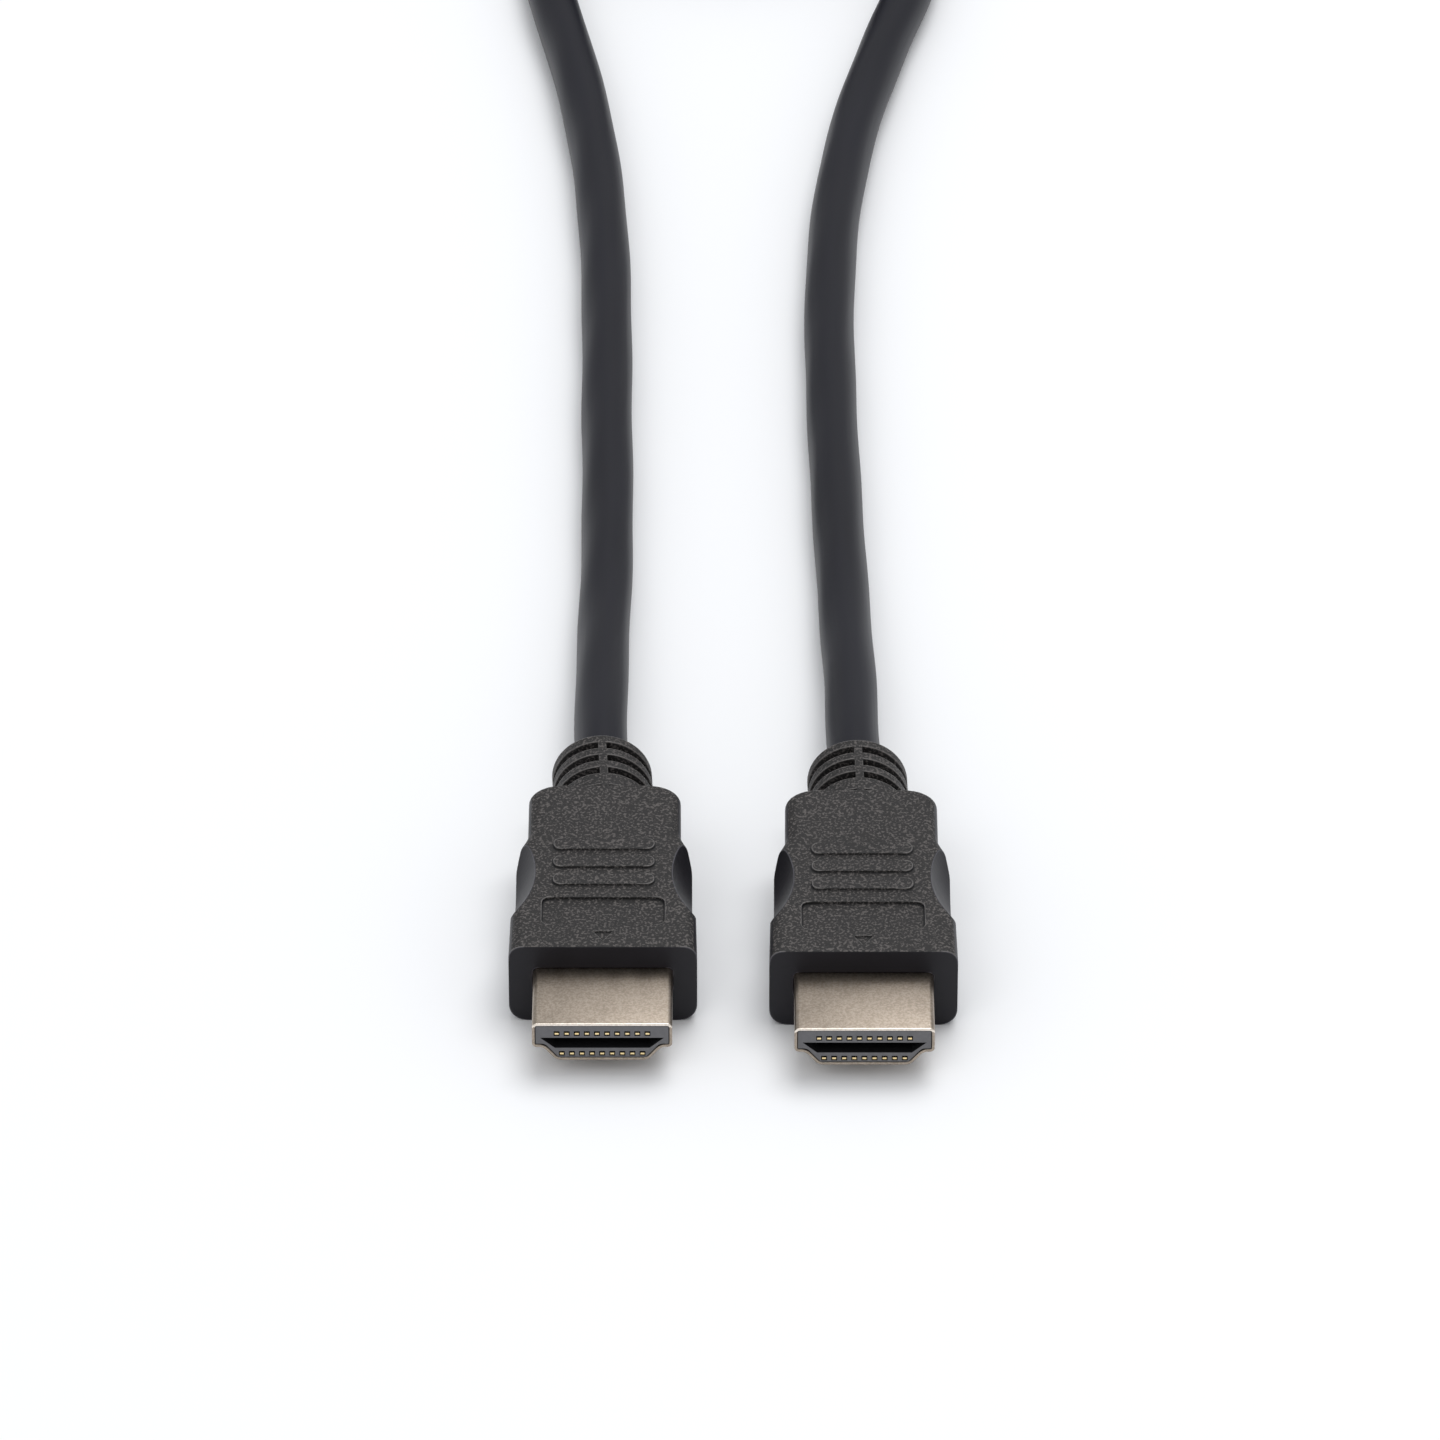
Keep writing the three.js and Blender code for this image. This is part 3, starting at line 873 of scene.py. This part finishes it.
    def on_top(self, name: str, size: Sequence[float], centre: float, rise: float, sink: float,
               corner: float) -> bpy.types.Object:
        """Makes a rounded plate that lies on the sloping top face.

        Args:
            name: the object's name.
            size: its width and its length along the face.
            centre: the station of its middle.
            rise: how far it stands above the face.
            sink: how far it reaches below the face.
            corner: the radius of its four corners.

        Returns:
            The plate, in place.
        """
        low = (-size[0] / 2, -size[1] / 2, -sink)
        high = (size[0] / 2, size[1] / 2, rise)
        obj = Bench.cube(name, low, high)

        def upright(edge: bmesh.types.BMEdge) -> bool:
            """Whether an edge is one of the four upright ones."""
            a, b = edge.verts
            return abs(a.co.z - b.co.z) > 0.5 * (rise + sink)

        Bench.bevel_edges(obj, upright, corner, 6)
        obj.rotation_euler.x = self.slope
        obj.location = (0, centre, self.top(centre))
        return Bench.settle(obj)

    def arrow(self) -> bpy.types.Object:
        """Makes the three-sided cutter of the orientation mark.

        Returns:
            The cutter, in place on the sloping top face.
        """
        Bench.clear()
        centre = self.arrow_tip + self.arrow_length / 2
        bpy.ops.mesh.primitive_cylinder_add(vertices=3, radius=MM, depth=2 * self.arrow_depth)
        obj = bpy.context.active_object
        obj.rotation_euler.z = math.pi
        Bench.settle(obj)
        spread = [max(v.co[k] for v in obj.data.vertices) - min(v.co[k] for v in obj.data.vertices)
                  for k in range(2)]
        obj.scale = (2 * self.arrow_half / spread[0], self.arrow_length / spread[1], 1)
        obj.rotation_euler.x = self.slope
        obj.location = (0, centre, self.top(centre))
        return Bench.settle(obj)

    def hollows(self) -> list[bpy.types.Object]:
        """Makes the two balls that hollow the upper side edges for a thumb and a finger.

        Returns:
            The two balls, in place.
        """
        made = []
        for side in Side:
            Bench.clear()
            x = side.value * (self.waist_half + self.hollow_outset)
            z = self.top(self.hollow_station) + self.hollow_rise
            bpy.ops.mesh.primitive_uv_sphere_add(
                segments=128, ring_count=96, radius=self.hollow_radius,
                location=(x, self.hollow_station, z),
            )
            made.append(Bench.settle(bpy.context.active_object))
        return made

    def build(self, form: ShellForm) -> bpy.types.Object:
        """Models the whole moulding, centred on X 0 with its front face on Y 0.

        Args:
            form: the shell whose rear the grip holds.

        Returns:
            One closed mesh with softened edges.
        """
        obj = self.body()
        pad_corner = self.pad_size[1] * self.pad_rounding
        pads = [
            self.on_top("pad", self.pad_size, self.first_pad + k * self.pad_pitch,
                        self.pad_height, self.pad_height, pad_corner)
            for k in range(self.pads)
        ]
        panel = self.on_top("panel", self.panel_size, self.panel_centre, MM, self.panel_depth,
                            self.panel_corner)
        pocket = form.block("pocket", self.clearance, -MM, form.seat + self.clearance)
        Bench.cut(obj, [*self.hollows(), panel, self.arrow(), pocket])
        Bench.join(obj, [*pads, *self.boot()])
        obj.data.remesh_voxel_size = self.voxel
        obj.data.use_remesh_fix_poles = False
        Bench.take(obj)
        bpy.ops.object.voxel_remesh()
        Bench.apply(obj, "SMOOTH", factor=0.5, iterations=2)
        Bench.apply(obj, "DECIMATE", ratio=self.kept_share)
        Bench.mark_edges(obj, self.edge_radius, self.edge_rounds)
        return obj

    def polished(self, centre: Vector, normal: Vector) -> bool:
        """Whether the surface is smooth at a face: front face, side walls and hollows.

        Args:
            centre: the face's middle.
            normal: the way that the face looks.

        Returns:
            True where the face has the smooth finish.
        """
        if centre.y < self.smooth_front and normal.y < self.front_facing:
            return True
        if abs(normal.x) > self.side_facing and centre.y < self.length - self.rear_corner:
            return True
        ball = Vector((
            math.copysign(self.waist_half + self.hollow_outset, centre.x),
            self.hollow_station,
            self.top(self.hollow_station) + self.hollow_rise,
        ))
        return abs((centre - ball).length - self.hollow_radius) < self.hollow_skin


@dataclass
class Plug:
    """One plug: grip, shell, insulator and contacts, at its place."""

    side: Side
    spacing: float = 26 * MM
    stagger: float = 0.8 * MM
    front: float = -12.97 * MM
    leans: dict[Side, float] = field(
        default_factory=lambda: {Side.LEFT: -0.42 * MM, Side.RIGHT: -0.25 * MM}
    )

    @property
    def origin(self) -> Vector:
        """The middle of the grip's front face, on the surface that it lies on."""
        x = self.side.value * self.spacing / 2
        return Vector((x, self.front - self.side.value * self.stagger / 2, 0))

    def dress_grip(self, master: bpy.types.Object, grip: Grip, finishes: "Finishes") -> None:
        """Copies the modelled grip to its place, leans its boot and gives it its finishes.

        Args:
            master: the modelled grip.
            grip: the sizes that it was modelled to.
            finishes: the object's materials.
        """
        node = f"overmold_{self.side.word}"
        obj = Bench.copy(master, f"grip_{self.side.word}")
        lean = self.leans[self.side] / grip.boot_length
        for vert in obj.data.vertices:
            vert.co.x += lean * max(vert.co.y - grip.length, 0.0)
        obj.data.materials.append(finishes.grained)
        obj.data.materials.append(finishes.smooth)
        for face in obj.data.polygons:
            face.material_index = int(grip.polished(face.center, face.normal))
        obj.data.transform(self.matrix())
        obj.data.shade_smooth()
        self.keep(obj, node)

    def dress_shell(
        self, master: bpy.types.Object, form: ShellForm, finishes: "Finishes"
    ) -> None:
        """Copies the modelled shell to its place, its upper rim brighter than the sheet as a painted
        highlight.

        Args:
            master: the modelled shell.
            form: the sizes that it was modelled to.
            finishes: the object's materials.
        """
        obj = Bench.copy(master, f"plug_shell_{self.side.word}")
        obj.data.materials.append(finishes.nickel)
        obj.data.materials.append(finishes.rim)
        upper = form.lift + form.height - 1.5 * form.wall
        for face in obj.data.polygons:
            # Only the upper rim gets the brighter nickel: a painted highlight.
            rim = face.center.y < form.lip - form.reach and face.center.z > upper
            face.material_index = int(rim)
        obj.data.transform(self.matrix())
        self.keep(obj, f"shell_{self.side.word}")

    def dress_inner(self, finishes: "Finishes") -> None:
        """Gives the insulator and the contacts their finishes.

        Args:
            finishes: the object's materials.
        """
        for name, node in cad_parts.items():
            if name == f"insulator_{self.side.word}":
                set_finish(node, finishes.insulator)
            if name.startswith(f"contact_{self.side.word}"):
                set_finish(node, finishes.gold)

    def matrix(self) -> Matrix:
        """The move from the modelling place to the plug's own."""
        return Matrix.Translation(self.origin)

    def keep(self, obj: bpy.types.Object, node: str) -> None:
        """Puts a finished piece on the body and lets it stand for its node.

        Args:
            obj: the piece.
            node: the node that it replaces.
        """
        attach(obj, BODY)
        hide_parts(node)
        log.info("%s: %d faces", obj.name, len(obj.data.polygons))


def set_finish(obj: bpy.types.Object, material: bpy.types.Material) -> None:
    """Puts one material in all of an object's slots.

    Args:
        obj: the object.
        material: the material that it gets.
    """
    if not obj.material_slots:
        obj.data.materials.append(material)
    for slot in obj.material_slots:
        slot.material = material


def rim_highlight_plate() -> NickelPlate:
    """The shells' upper rim, plated as the sheet is but brighter, as a painted highlight."""
    return NickelPlate(name="rim_nickel_highlight", dark=(0.72, 0.64, 0.55), light=(0.95, 0.88, 0.8))


@dataclass
class Finishes:
    """Every material of the object."""

    grained: bpy.types.Material = field(default_factory=lambda: MouldedGrain().build())
    smooth: bpy.types.Material = field(default_factory=lambda: MouldedSmooth().build())
    jacket: bpy.types.Material = field(default_factory=lambda: Jacket().build())
    nickel: bpy.types.Material = field(default_factory=lambda: NickelPlate().build())
    # A brighter copy of the nickel: the upper rim's painted highlight.
    rim: bpy.types.Material = field(default_factory=lambda: rim_highlight_plate().build())
    insulator: bpy.types.Material = field(default_factory=lambda: InsulatorPlastic().build())
    gold: bpy.types.Material = field(default_factory=lambda: GoldPlate().build())
    tie: bpy.types.Material = field(default_factory=lambda: TiePlastic().build())


@dataclass
class Lead:
    """The cable: its route from plug to plug through the hank, and its round jacket."""

    diameter: float = 5.6 * MM
    length: float = 1.5
    pitch: float = 5.7 * MM
    fold_radius: float = 17.0 * MM
    near_end: float = 196.0 * MM
    slack: float = 0.3 * MM
    run: float = 77.0 * MM
    turns: int = 4
    tie_seat: float = 3.8 * MM
    tie_lift: float = 1.1 * MM
    tie_ramp: float = 20 * MM
    loosening: float = 0.04
    sides: int = 28
    step: float = 1.6 * MM
    knot_steps: int = 8
    easings: int = 4
    lay_pitch: float = 62.0 * MM
    lay_depth: float = 0.05 * MM
    start_inside: float = 0.4 * MM

    LEFT_RUN = (
        (-13.62, 30.1, 5.05), (-13.64, 42.2, 4.2), (-13.55, 50.7, 3.45), (-13.4, 58.4, 2.98),
        (-13.3, 66.0, 2.82), (-13.34, 77.6, 2.8), (-13.64, 97.4, 2.8), (-13.75, 113.7, 2.8),
        (-14.3, 133.0, 2.8), (-15.9, 153.0, 2.8), (-18.6, 172.0, 2.8), (-21.4, 188.0, 2.8),
        (-22.7, 205.0, 2.8),
    )
    RIGHT_RUN = (
        (12.43, 29.3, 5.05), (12.23, 42.2, 4.2), (11.95, 50.7, 3.45), (11.71, 58.4, 2.98),
        (11.5, 66.0, 2.82), (11.21, 77.6, 2.8), (10.82, 97.5, 2.8), (10.69, 113.8, 2.8),
        (11.4, 133.0, 2.8), (13.6, 153.0, 2.8), (17.3, 172.0, 2.8), (20.9, 187.0, 2.8),
        (22.7, 205.0, 2.8),
    )
    SLOT_ANGLES = (-45.0, -135.0, 135.0, 45.0)

    @property
    def radius(self) -> float:
        """The cable's radius."""
        return self.diameter / 2

    @property
    def near_fold(self) -> float:
        """Where the near fold's middle lies along Y."""
        return self.near_end + self.fold_radius + self.pitch + self.radius + self.slack

    @property
    def far_fold(self) -> float:
        """Where the far fold's middle lies along Y."""
        return self.near_fold + self.run

    def bundle_middle(self, y: float) -> tuple[float, float]:
        """Where one side's four strands have their middle at a place along the hank.

        Args:
            y: the place.

        Returns:
            The middle's distance from the hank's axis, and how much wider its slope sets the strands.
        """
        reach = self.run / 2 - self.tie_seat
        from_fold = min(y - self.near_fold, self.far_fold - y)
        t = min(max(from_fold / reach, 0.0), 1.0)
        draw = self.fold_radius + self.pitch / 2 - self.pitch
        share = 1 - 2 * t * t if t < 0.5 else 2 * (1 - t) ** 2
        tilt = 4 * draw * min(t, 1 - t) / reach
        return self.pitch + draw * share, math.hypot(1.0, tilt)

    def strand(self, side: Side, turn: int, y: float) -> Point:
        """A strand's place on one side of the hank; the near right quarter turns the bundle.

        Args:
            side: the side that the strand runs on.
            turn: which of the turns it belongs to.
            y: the place along the hank.

        Returns:
            The point on the strand's centre line.
        """
        middle, widen = self.bundle_middle(y)
        tie = self.near_fold + self.run / 2
        reach = self.run / 2 - self.tie_seat
        turned = 0.0
        if side is Side.RIGHT and y < tie - self.tie_seat:
            turned = slow_ease(1 - (y - self.near_fold) / reach)
        angle = math.radians(self.SLOT_ANGLES[turn] - 90 * turned)
        spread = self.pitch * math.sqrt(0.5) * (1 + self.loosening * math.sin(math.pi * turned))
        rolled = spread * math.cos(math.radians(45 - 90 * turned)) - self.pitch / 2
        tied = self.tie_lift * ease(1 - (abs(y - tie) - self.tie_seat) / self.tie_ramp)
        x = middle + spread * math.cos(angle) * widen
        z = self.radius + self.pitch / 2 + spread * math.sin(angle) + max(rolled, tied)
        return side.value * x, y, z

    def fold(self, far: bool, turn: int) -> list[Point]:
        """The points of one fold: from left to right at the far end, and back at the near.

        Args:
            far: whether it is the far end's fold.
            turn: which of the turns it belongs to.

        Returns:
            The points of the fold's centre line.
        """
        angle = math.radians(self.SLOT_ANGLES[turn])
        spread = self.pitch * math.sqrt(0.5)
        radius = self.fold_radius + self.pitch / 2 + spread * math.cos(angle)
        z = self.radius + self.pitch / 2 + spread * math.sin(angle)
        points = []
        for k in range(1, 16):
            t = math.pi * k / 16
            sag = 1.0 * MM * math.sin(t) ** 2 if turn == self.turns - 1 and not far else 0.0
            across, along = math.cos(t) * radius, math.sin(t) * radius
            if far:
                points.append((-across, self.far_fold + along, z))
            else:
                points.append((across, self.near_fold - along, z - sag))
        return points

    def hank(self) -> list[Point]:
        """The folded turns, worked out turn by turn.

        Returns:
            The points of their centre line, from the left run's end to the right's.
        """
        rises = [self.near_fold + self.run * k / 16 for k in range(17)]
        points: list[Point] = []
        for turn in range(self.turns):
            points += [self.strand(Side.LEFT, turn, y) for y in rises]
            points += self.fold(True, turn)
            points += [self.strand(Side.RIGHT, turn, y) for y in reversed(rises)]
            if turn + 1 < self.turns:
                points += self.fold(False, turn + 1)
        return points

    def exit(self, plug: Plug, grip: Grip) -> Point:
        """The middle of a plug's cable exit, just inside its last ring.

        Args:
            plug: the plug that the cable leaves.
            grip: the sizes of its grip.

        Returns:
            The point where the cable's centre line starts.
        """
        x, y, _ = plug.origin
        back = y + grip.length + grip.boot_length - self.start_inside
        return x + plug.leans[plug.side], back, grip.boot_radius

    def route(self, left: Plug, right: Plug, grip: Grip) -> list[Vector]:
        """The smooth centre line from plug to plug, in even steps.

        Args:
            left: the plug where the cable starts.
            right: the plug where it ends.
            grip: the grip whose boots the cable leaves.

        Returns:
            Points a step apart.
        """
        start = [self.exit(left, grip), *[tuple(c * MM for c in p) for p in self.LEFT_RUN]]
        end = [self.exit(right, grip), *[tuple(c * MM for c in p) for p in self.RIGHT_RUN]]
        knots = [Vector(p) for p in [*start, *self.hank(), *reversed(end)]]
        line = even_steps(smooth_line(knots, self.knot_steps), self.step)
        for _ in range(self.easings):
            inner = [(a + 2 * b + c) / 4 for a, b, c in zip(line, line[1:], line[2:])]
            line = [line[0], *inner, line[-1]]
        return line

    def build(self, route: list[Vector]) -> bpy.types.Object:
        """Makes the jacket: a round tube whose surface shows the cores' slow lay.

        Args:
            route: the centre line.

        Returns:
            The closed tube, with a UV map in metres around and along it.
        """
        mesh = bmesh.new()
        lay = mesh.loops.layers.uv.new("lay")
        rings = []
        across = Vector((1, 0, 0))
        for at, centre in enumerate(route):
            ahead = route[min(at + 1, len(route) - 1)] - route[max(at - 1, 0)]
            ahead.normalize()
            across = (across - ahead * across.dot(ahead)).normalized()
            over = ahead.cross(across)
            phase = 2 * math.pi * at * self.step / self.lay_pitch
            ring = []
            for k in range(self.sides):
                angle = 2 * math.pi * k / self.sides
                swell = self.lay_depth * math.cos(3 * (angle - phase))
                swell += self.lay_depth * 0.5 * math.sin(at * self.step / (9.5 * MM) + angle)
                reach = self.radius - 0.06 * MM + swell
                point = centre + (across * math.cos(angle) + over * math.sin(angle)) * reach
                ring.append(mesh.verts.new(point))
            rings.append(ring)
        for at, (ring, nxt) in enumerate(zip(rings, rings[1:])):
            for k in range(self.sides):
                j = (k + 1) % self.sides
                face = mesh.faces.new((ring[k], ring[j], nxt[j], nxt[k]))
                around = [k, k + 1, k + 1, k]
                along = [at, at, at + 1, at + 1]
                for loop, u, v in zip(face.loops, around, along):
                    turn = u * self.diameter * math.pi / self.sides
                    loop[lay].uv = (turn, v * self.step)
                face.smooth = True
        mesh.faces.new(list(reversed(rings[0])))
        mesh.faces.new(rings[-1])
        mesh.normal_update()
        data = bpy.data.meshes.new("cable")
        mesh.to_mesh(data)
        mesh.free()
        obj = bpy.data.objects.new("cable", data)
        bpy.context.scene.collection.objects.link(obj)
        return obj


def smooth_line(knots: Sequence[Vector], per_knot: int) -> list[Vector]:
    """A centripetal Catmull-Rom curve through some points.

    Args:
        knots: the points to pass through.
        per_knot: how many points to give between two of them.

    Returns:
        The curve's points.
    """
    ends = [2 * knots[0] - knots[1], *knots, 2 * knots[-1] - knots[-2]]
    line = []
    for p0, p1, p2, p3 in zip(ends, ends[1:], ends[2:], ends[3:]):
        t1 = math.sqrt((p1 - p0).length)
        t2 = t1 + math.sqrt((p2 - p1).length)
        t3 = t2 + math.sqrt((p3 - p2).length)
        for k in range(per_knot):
            t = t1 + (t2 - t1) * k / per_knot
            a1 = p0.lerp(p1, t / t1)
            a2 = p1.lerp(p2, (t - t1) / (t2 - t1))
            a3 = p2.lerp(p3, (t - t2) / (t3 - t2))
            b1 = a1.lerp(a2, t / t2)
            b2 = a2.lerp(a3, (t - t1) / (t3 - t1))
            line.append(b1.lerp(b2, (t - t1) / (t2 - t1)))
    return [*line, knots[-1].copy()]


def even_steps(line: Sequence[Vector], step: float) -> list[Vector]:
    """The same line with its points evenly apart, its two ends kept.

    Args:
        line: the line's points.
        step: about how far apart the new points lie.

    Returns:
        The new points.
    """
    total = sum((b - a).length for a, b in zip(line, line[1:]))
    spacing = total / round(total / step)
    points, carried = [line[0].copy()], 0.0
    for a, b in zip(line, line[1:]):
        span = (b - a).length
        while carried + span >= spacing - 1e-9 and span > 0:
            a = a.lerp(b, (spacing - carried) / span)
            points.append(a.copy())
            span, carried = (b - a).length, 0.0
        carried += span
    points[-1] = line[-1].copy()
    return points


@dataclass
class Tie:
    """The band round the hank's waist, with its end lapped over its top."""

    thickness: float = 0.8 * MM
    corner: float = 1.6 * MM
    rim: float = 0.18 * MM
    lap_half: float = 6.5 * MM
    lap_rise: float = 0.6 * MM
    lap_inset: float = 0.3 * MM

    @staticmethod
    def block(name: str, low: Vector, high: Vector, corner: float) -> bpy.types.Object:
        """Makes a box whose four edges along Y are rounded.

        Args:
            name: the object's name.
            low: its lowest corner.
            high: its highest corner.
            corner: the rounding's radius.

        Returns:
            The box, in place.
        """
        obj = Bench.cube(name, low, high)

        def along(edge: bmesh.types.BMEdge) -> bool:
            """Whether an edge runs along Y."""
            a, b = edge.verts
            return abs(a.co.y - b.co.y) > MM

        Bench.bevel_edges(obj, along, corner, 6)
        return obj

    def build(self) -> bpy.types.Object:
        """Models the band where its node lies, then rounds its rims and laps its end.

        Returns:
            The band with its lap.
        """
        low, high = (Vector(corner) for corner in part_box("hank_tie"))
        inwards = Vector((self.thickness, -MM, self.thickness))
        obj = self.block("tie_band", low, high, self.corner)
        bore = self.block("tie_bore", low + inwards, high - inwards, self.corner - self.thickness)
        Bench.cut(obj, [bore])

        def rim(edge: bmesh.types.BMEdge) -> bool:
            """Whether an edge lies round one of the band's two open ends."""
            a, b = edge.verts
            return abs(a.co.y - b.co.y) < 0.01 * MM and edge.calc_face_angle(0.0) > 1.0

        Bench.bevel_edges(obj, rim, self.rim, 3)
        lap = Bench.cube(
            "tie_lap",
            (-self.lap_half, low.y + self.lap_inset, high.z - self.rim),
            (self.lap_half, high.y - self.lap_inset, high.z + self.lap_rise),
        )
        Bench.bevel_edges(lap, lambda edge: True, self.rim, 3)
        Bench.join(obj, [lap])
        Bench.smooth(obj, 35)
        return obj


@dataclass
class Studio:
    """Camera, floor and light."""

    eye: Point = (-1.315 * MM, -845.13 * MM, 608.39 * MM)
    look_down: float = 34.488
    lens: float = 257.5
    floor_half: float = 3.0
    floor_colour: Point = (0.93, 0.94, 0.955)
    sky: float = 0.62
    sky_colour: Point = (0.97, 0.98, 1.0)
    overhead: tuple[Point, float, float] = ((0.25, 0.35, 1.3), 0.9, 9.0)
    front_fill: tuple[Point, float, float] = ((-0.6, -0.9, 1.2), 0.8, 3.0)

    def camera(self) -> None:
        """Places the camera where the photograph was taken from."""
        data = bpy.data.cameras.new("camera")
        data.lens = self.lens
        data.sensor_width = 36.0
        data.clip_start = 0.05
        data.clip_end = 20.0
        obj = bpy.data.objects.new("camera", data)
        obj.location = self.eye
        obj.rotation_euler = (math.radians(90 - self.look_down), 0, 0)
        bpy.context.scene.collection.objects.link(obj)
        bpy.context.scene.camera = obj

    def floor(self) -> None:
        """Lays a plain pale floor."""
        Bench.clear()
        bpy.ops.mesh.primitive_plane_add(size=2 * self.floor_half)
        obj = bpy.context.active_object
        obj.name = "floor"
        nodes = Nodes("floor")
        obj.data.materials.append(nodes.finish(Base_Color=(*self.floor_colour, 1), Roughness=0.9))
        nodes.shader.inputs["Specular IOR Level"].default_value = 0.1

    def light(self, name: str, place: Point, size: float, power: float) -> None:
        """Hangs a square soft light that faces the plugs.

        Args:
            name: the light's name.
            place: where its middle hangs.
            size: its side.
            power: its power in watts.
        """
        data = bpy.data.lights.new(name, "AREA")
        data.shape = "SQUARE"
        data.size = size
        data.energy = power
        obj = bpy.data.objects.new(name, data)
        obj.location = place
        obj.rotation_euler = (-Vector(place)).to_track_quat("-Z", "Y").to_euler()
        bpy.context.scene.collection.objects.link(obj)

    def build(self) -> None:
        """Sets up the whole studio."""
        self.camera()
        self.floor()
        world = bpy.data.worlds.new("studio")
        world.use_nodes = True
        back = world.node_tree.nodes["Background"]
        back.inputs["Color"].default_value = (*self.sky_colour, 1)
        back.inputs["Strength"].default_value = self.sky
        bpy.context.scene.world = world
        bpy.context.scene.view_settings.view_transform = "Standard"
        self.light("overhead", *self.overhead)
        self.light("front_fill", *self.front_fill)


def main() -> None:
    """Builds the studio, the cable and the plugs, and reports each piece."""
    Studio().build()
    finishes = Finishes()
    grip, form = Grip(), ShellForm()
    left, right = Plug(Side.LEFT), Plug(Side.RIGHT)
    lead = Lead()
    route = lead.route(left, right, grip)
    total = sum((b - a).length for a, b in zip(route, route[1:]))
    log.info("cable route: %.4f m in %d points", total, len(route))
    cable = lead.build(route)
    cable.data.materials.append(finishes.jacket)
    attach(cable, BODY)
    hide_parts("cable_run_left", "cable_run_right", "cable_hank")
    tie = Tie().build()
    tie.data.materials.append(finishes.tie)
    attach(tie, BODY)
    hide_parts("hank_tie")
    grip_master = grip.build(form)
    shell_master = form.tube("shell_master")
    for plug in (left, right):
        plug.dress_grip(grip_master, grip, finishes)
        plug.dress_shell(shell_master, form, finishes)
        plug.dress_inner(finishes)
    for master in (grip_master, shell_master):
        bpy.data.objects.remove(master)
    Bench.clear()


if __name__ == "__main__":
    logging.basicConfig(level=logging.INFO, format="%(name)s: %(message)s")
    main()
    bpy.context.view_layer.update()
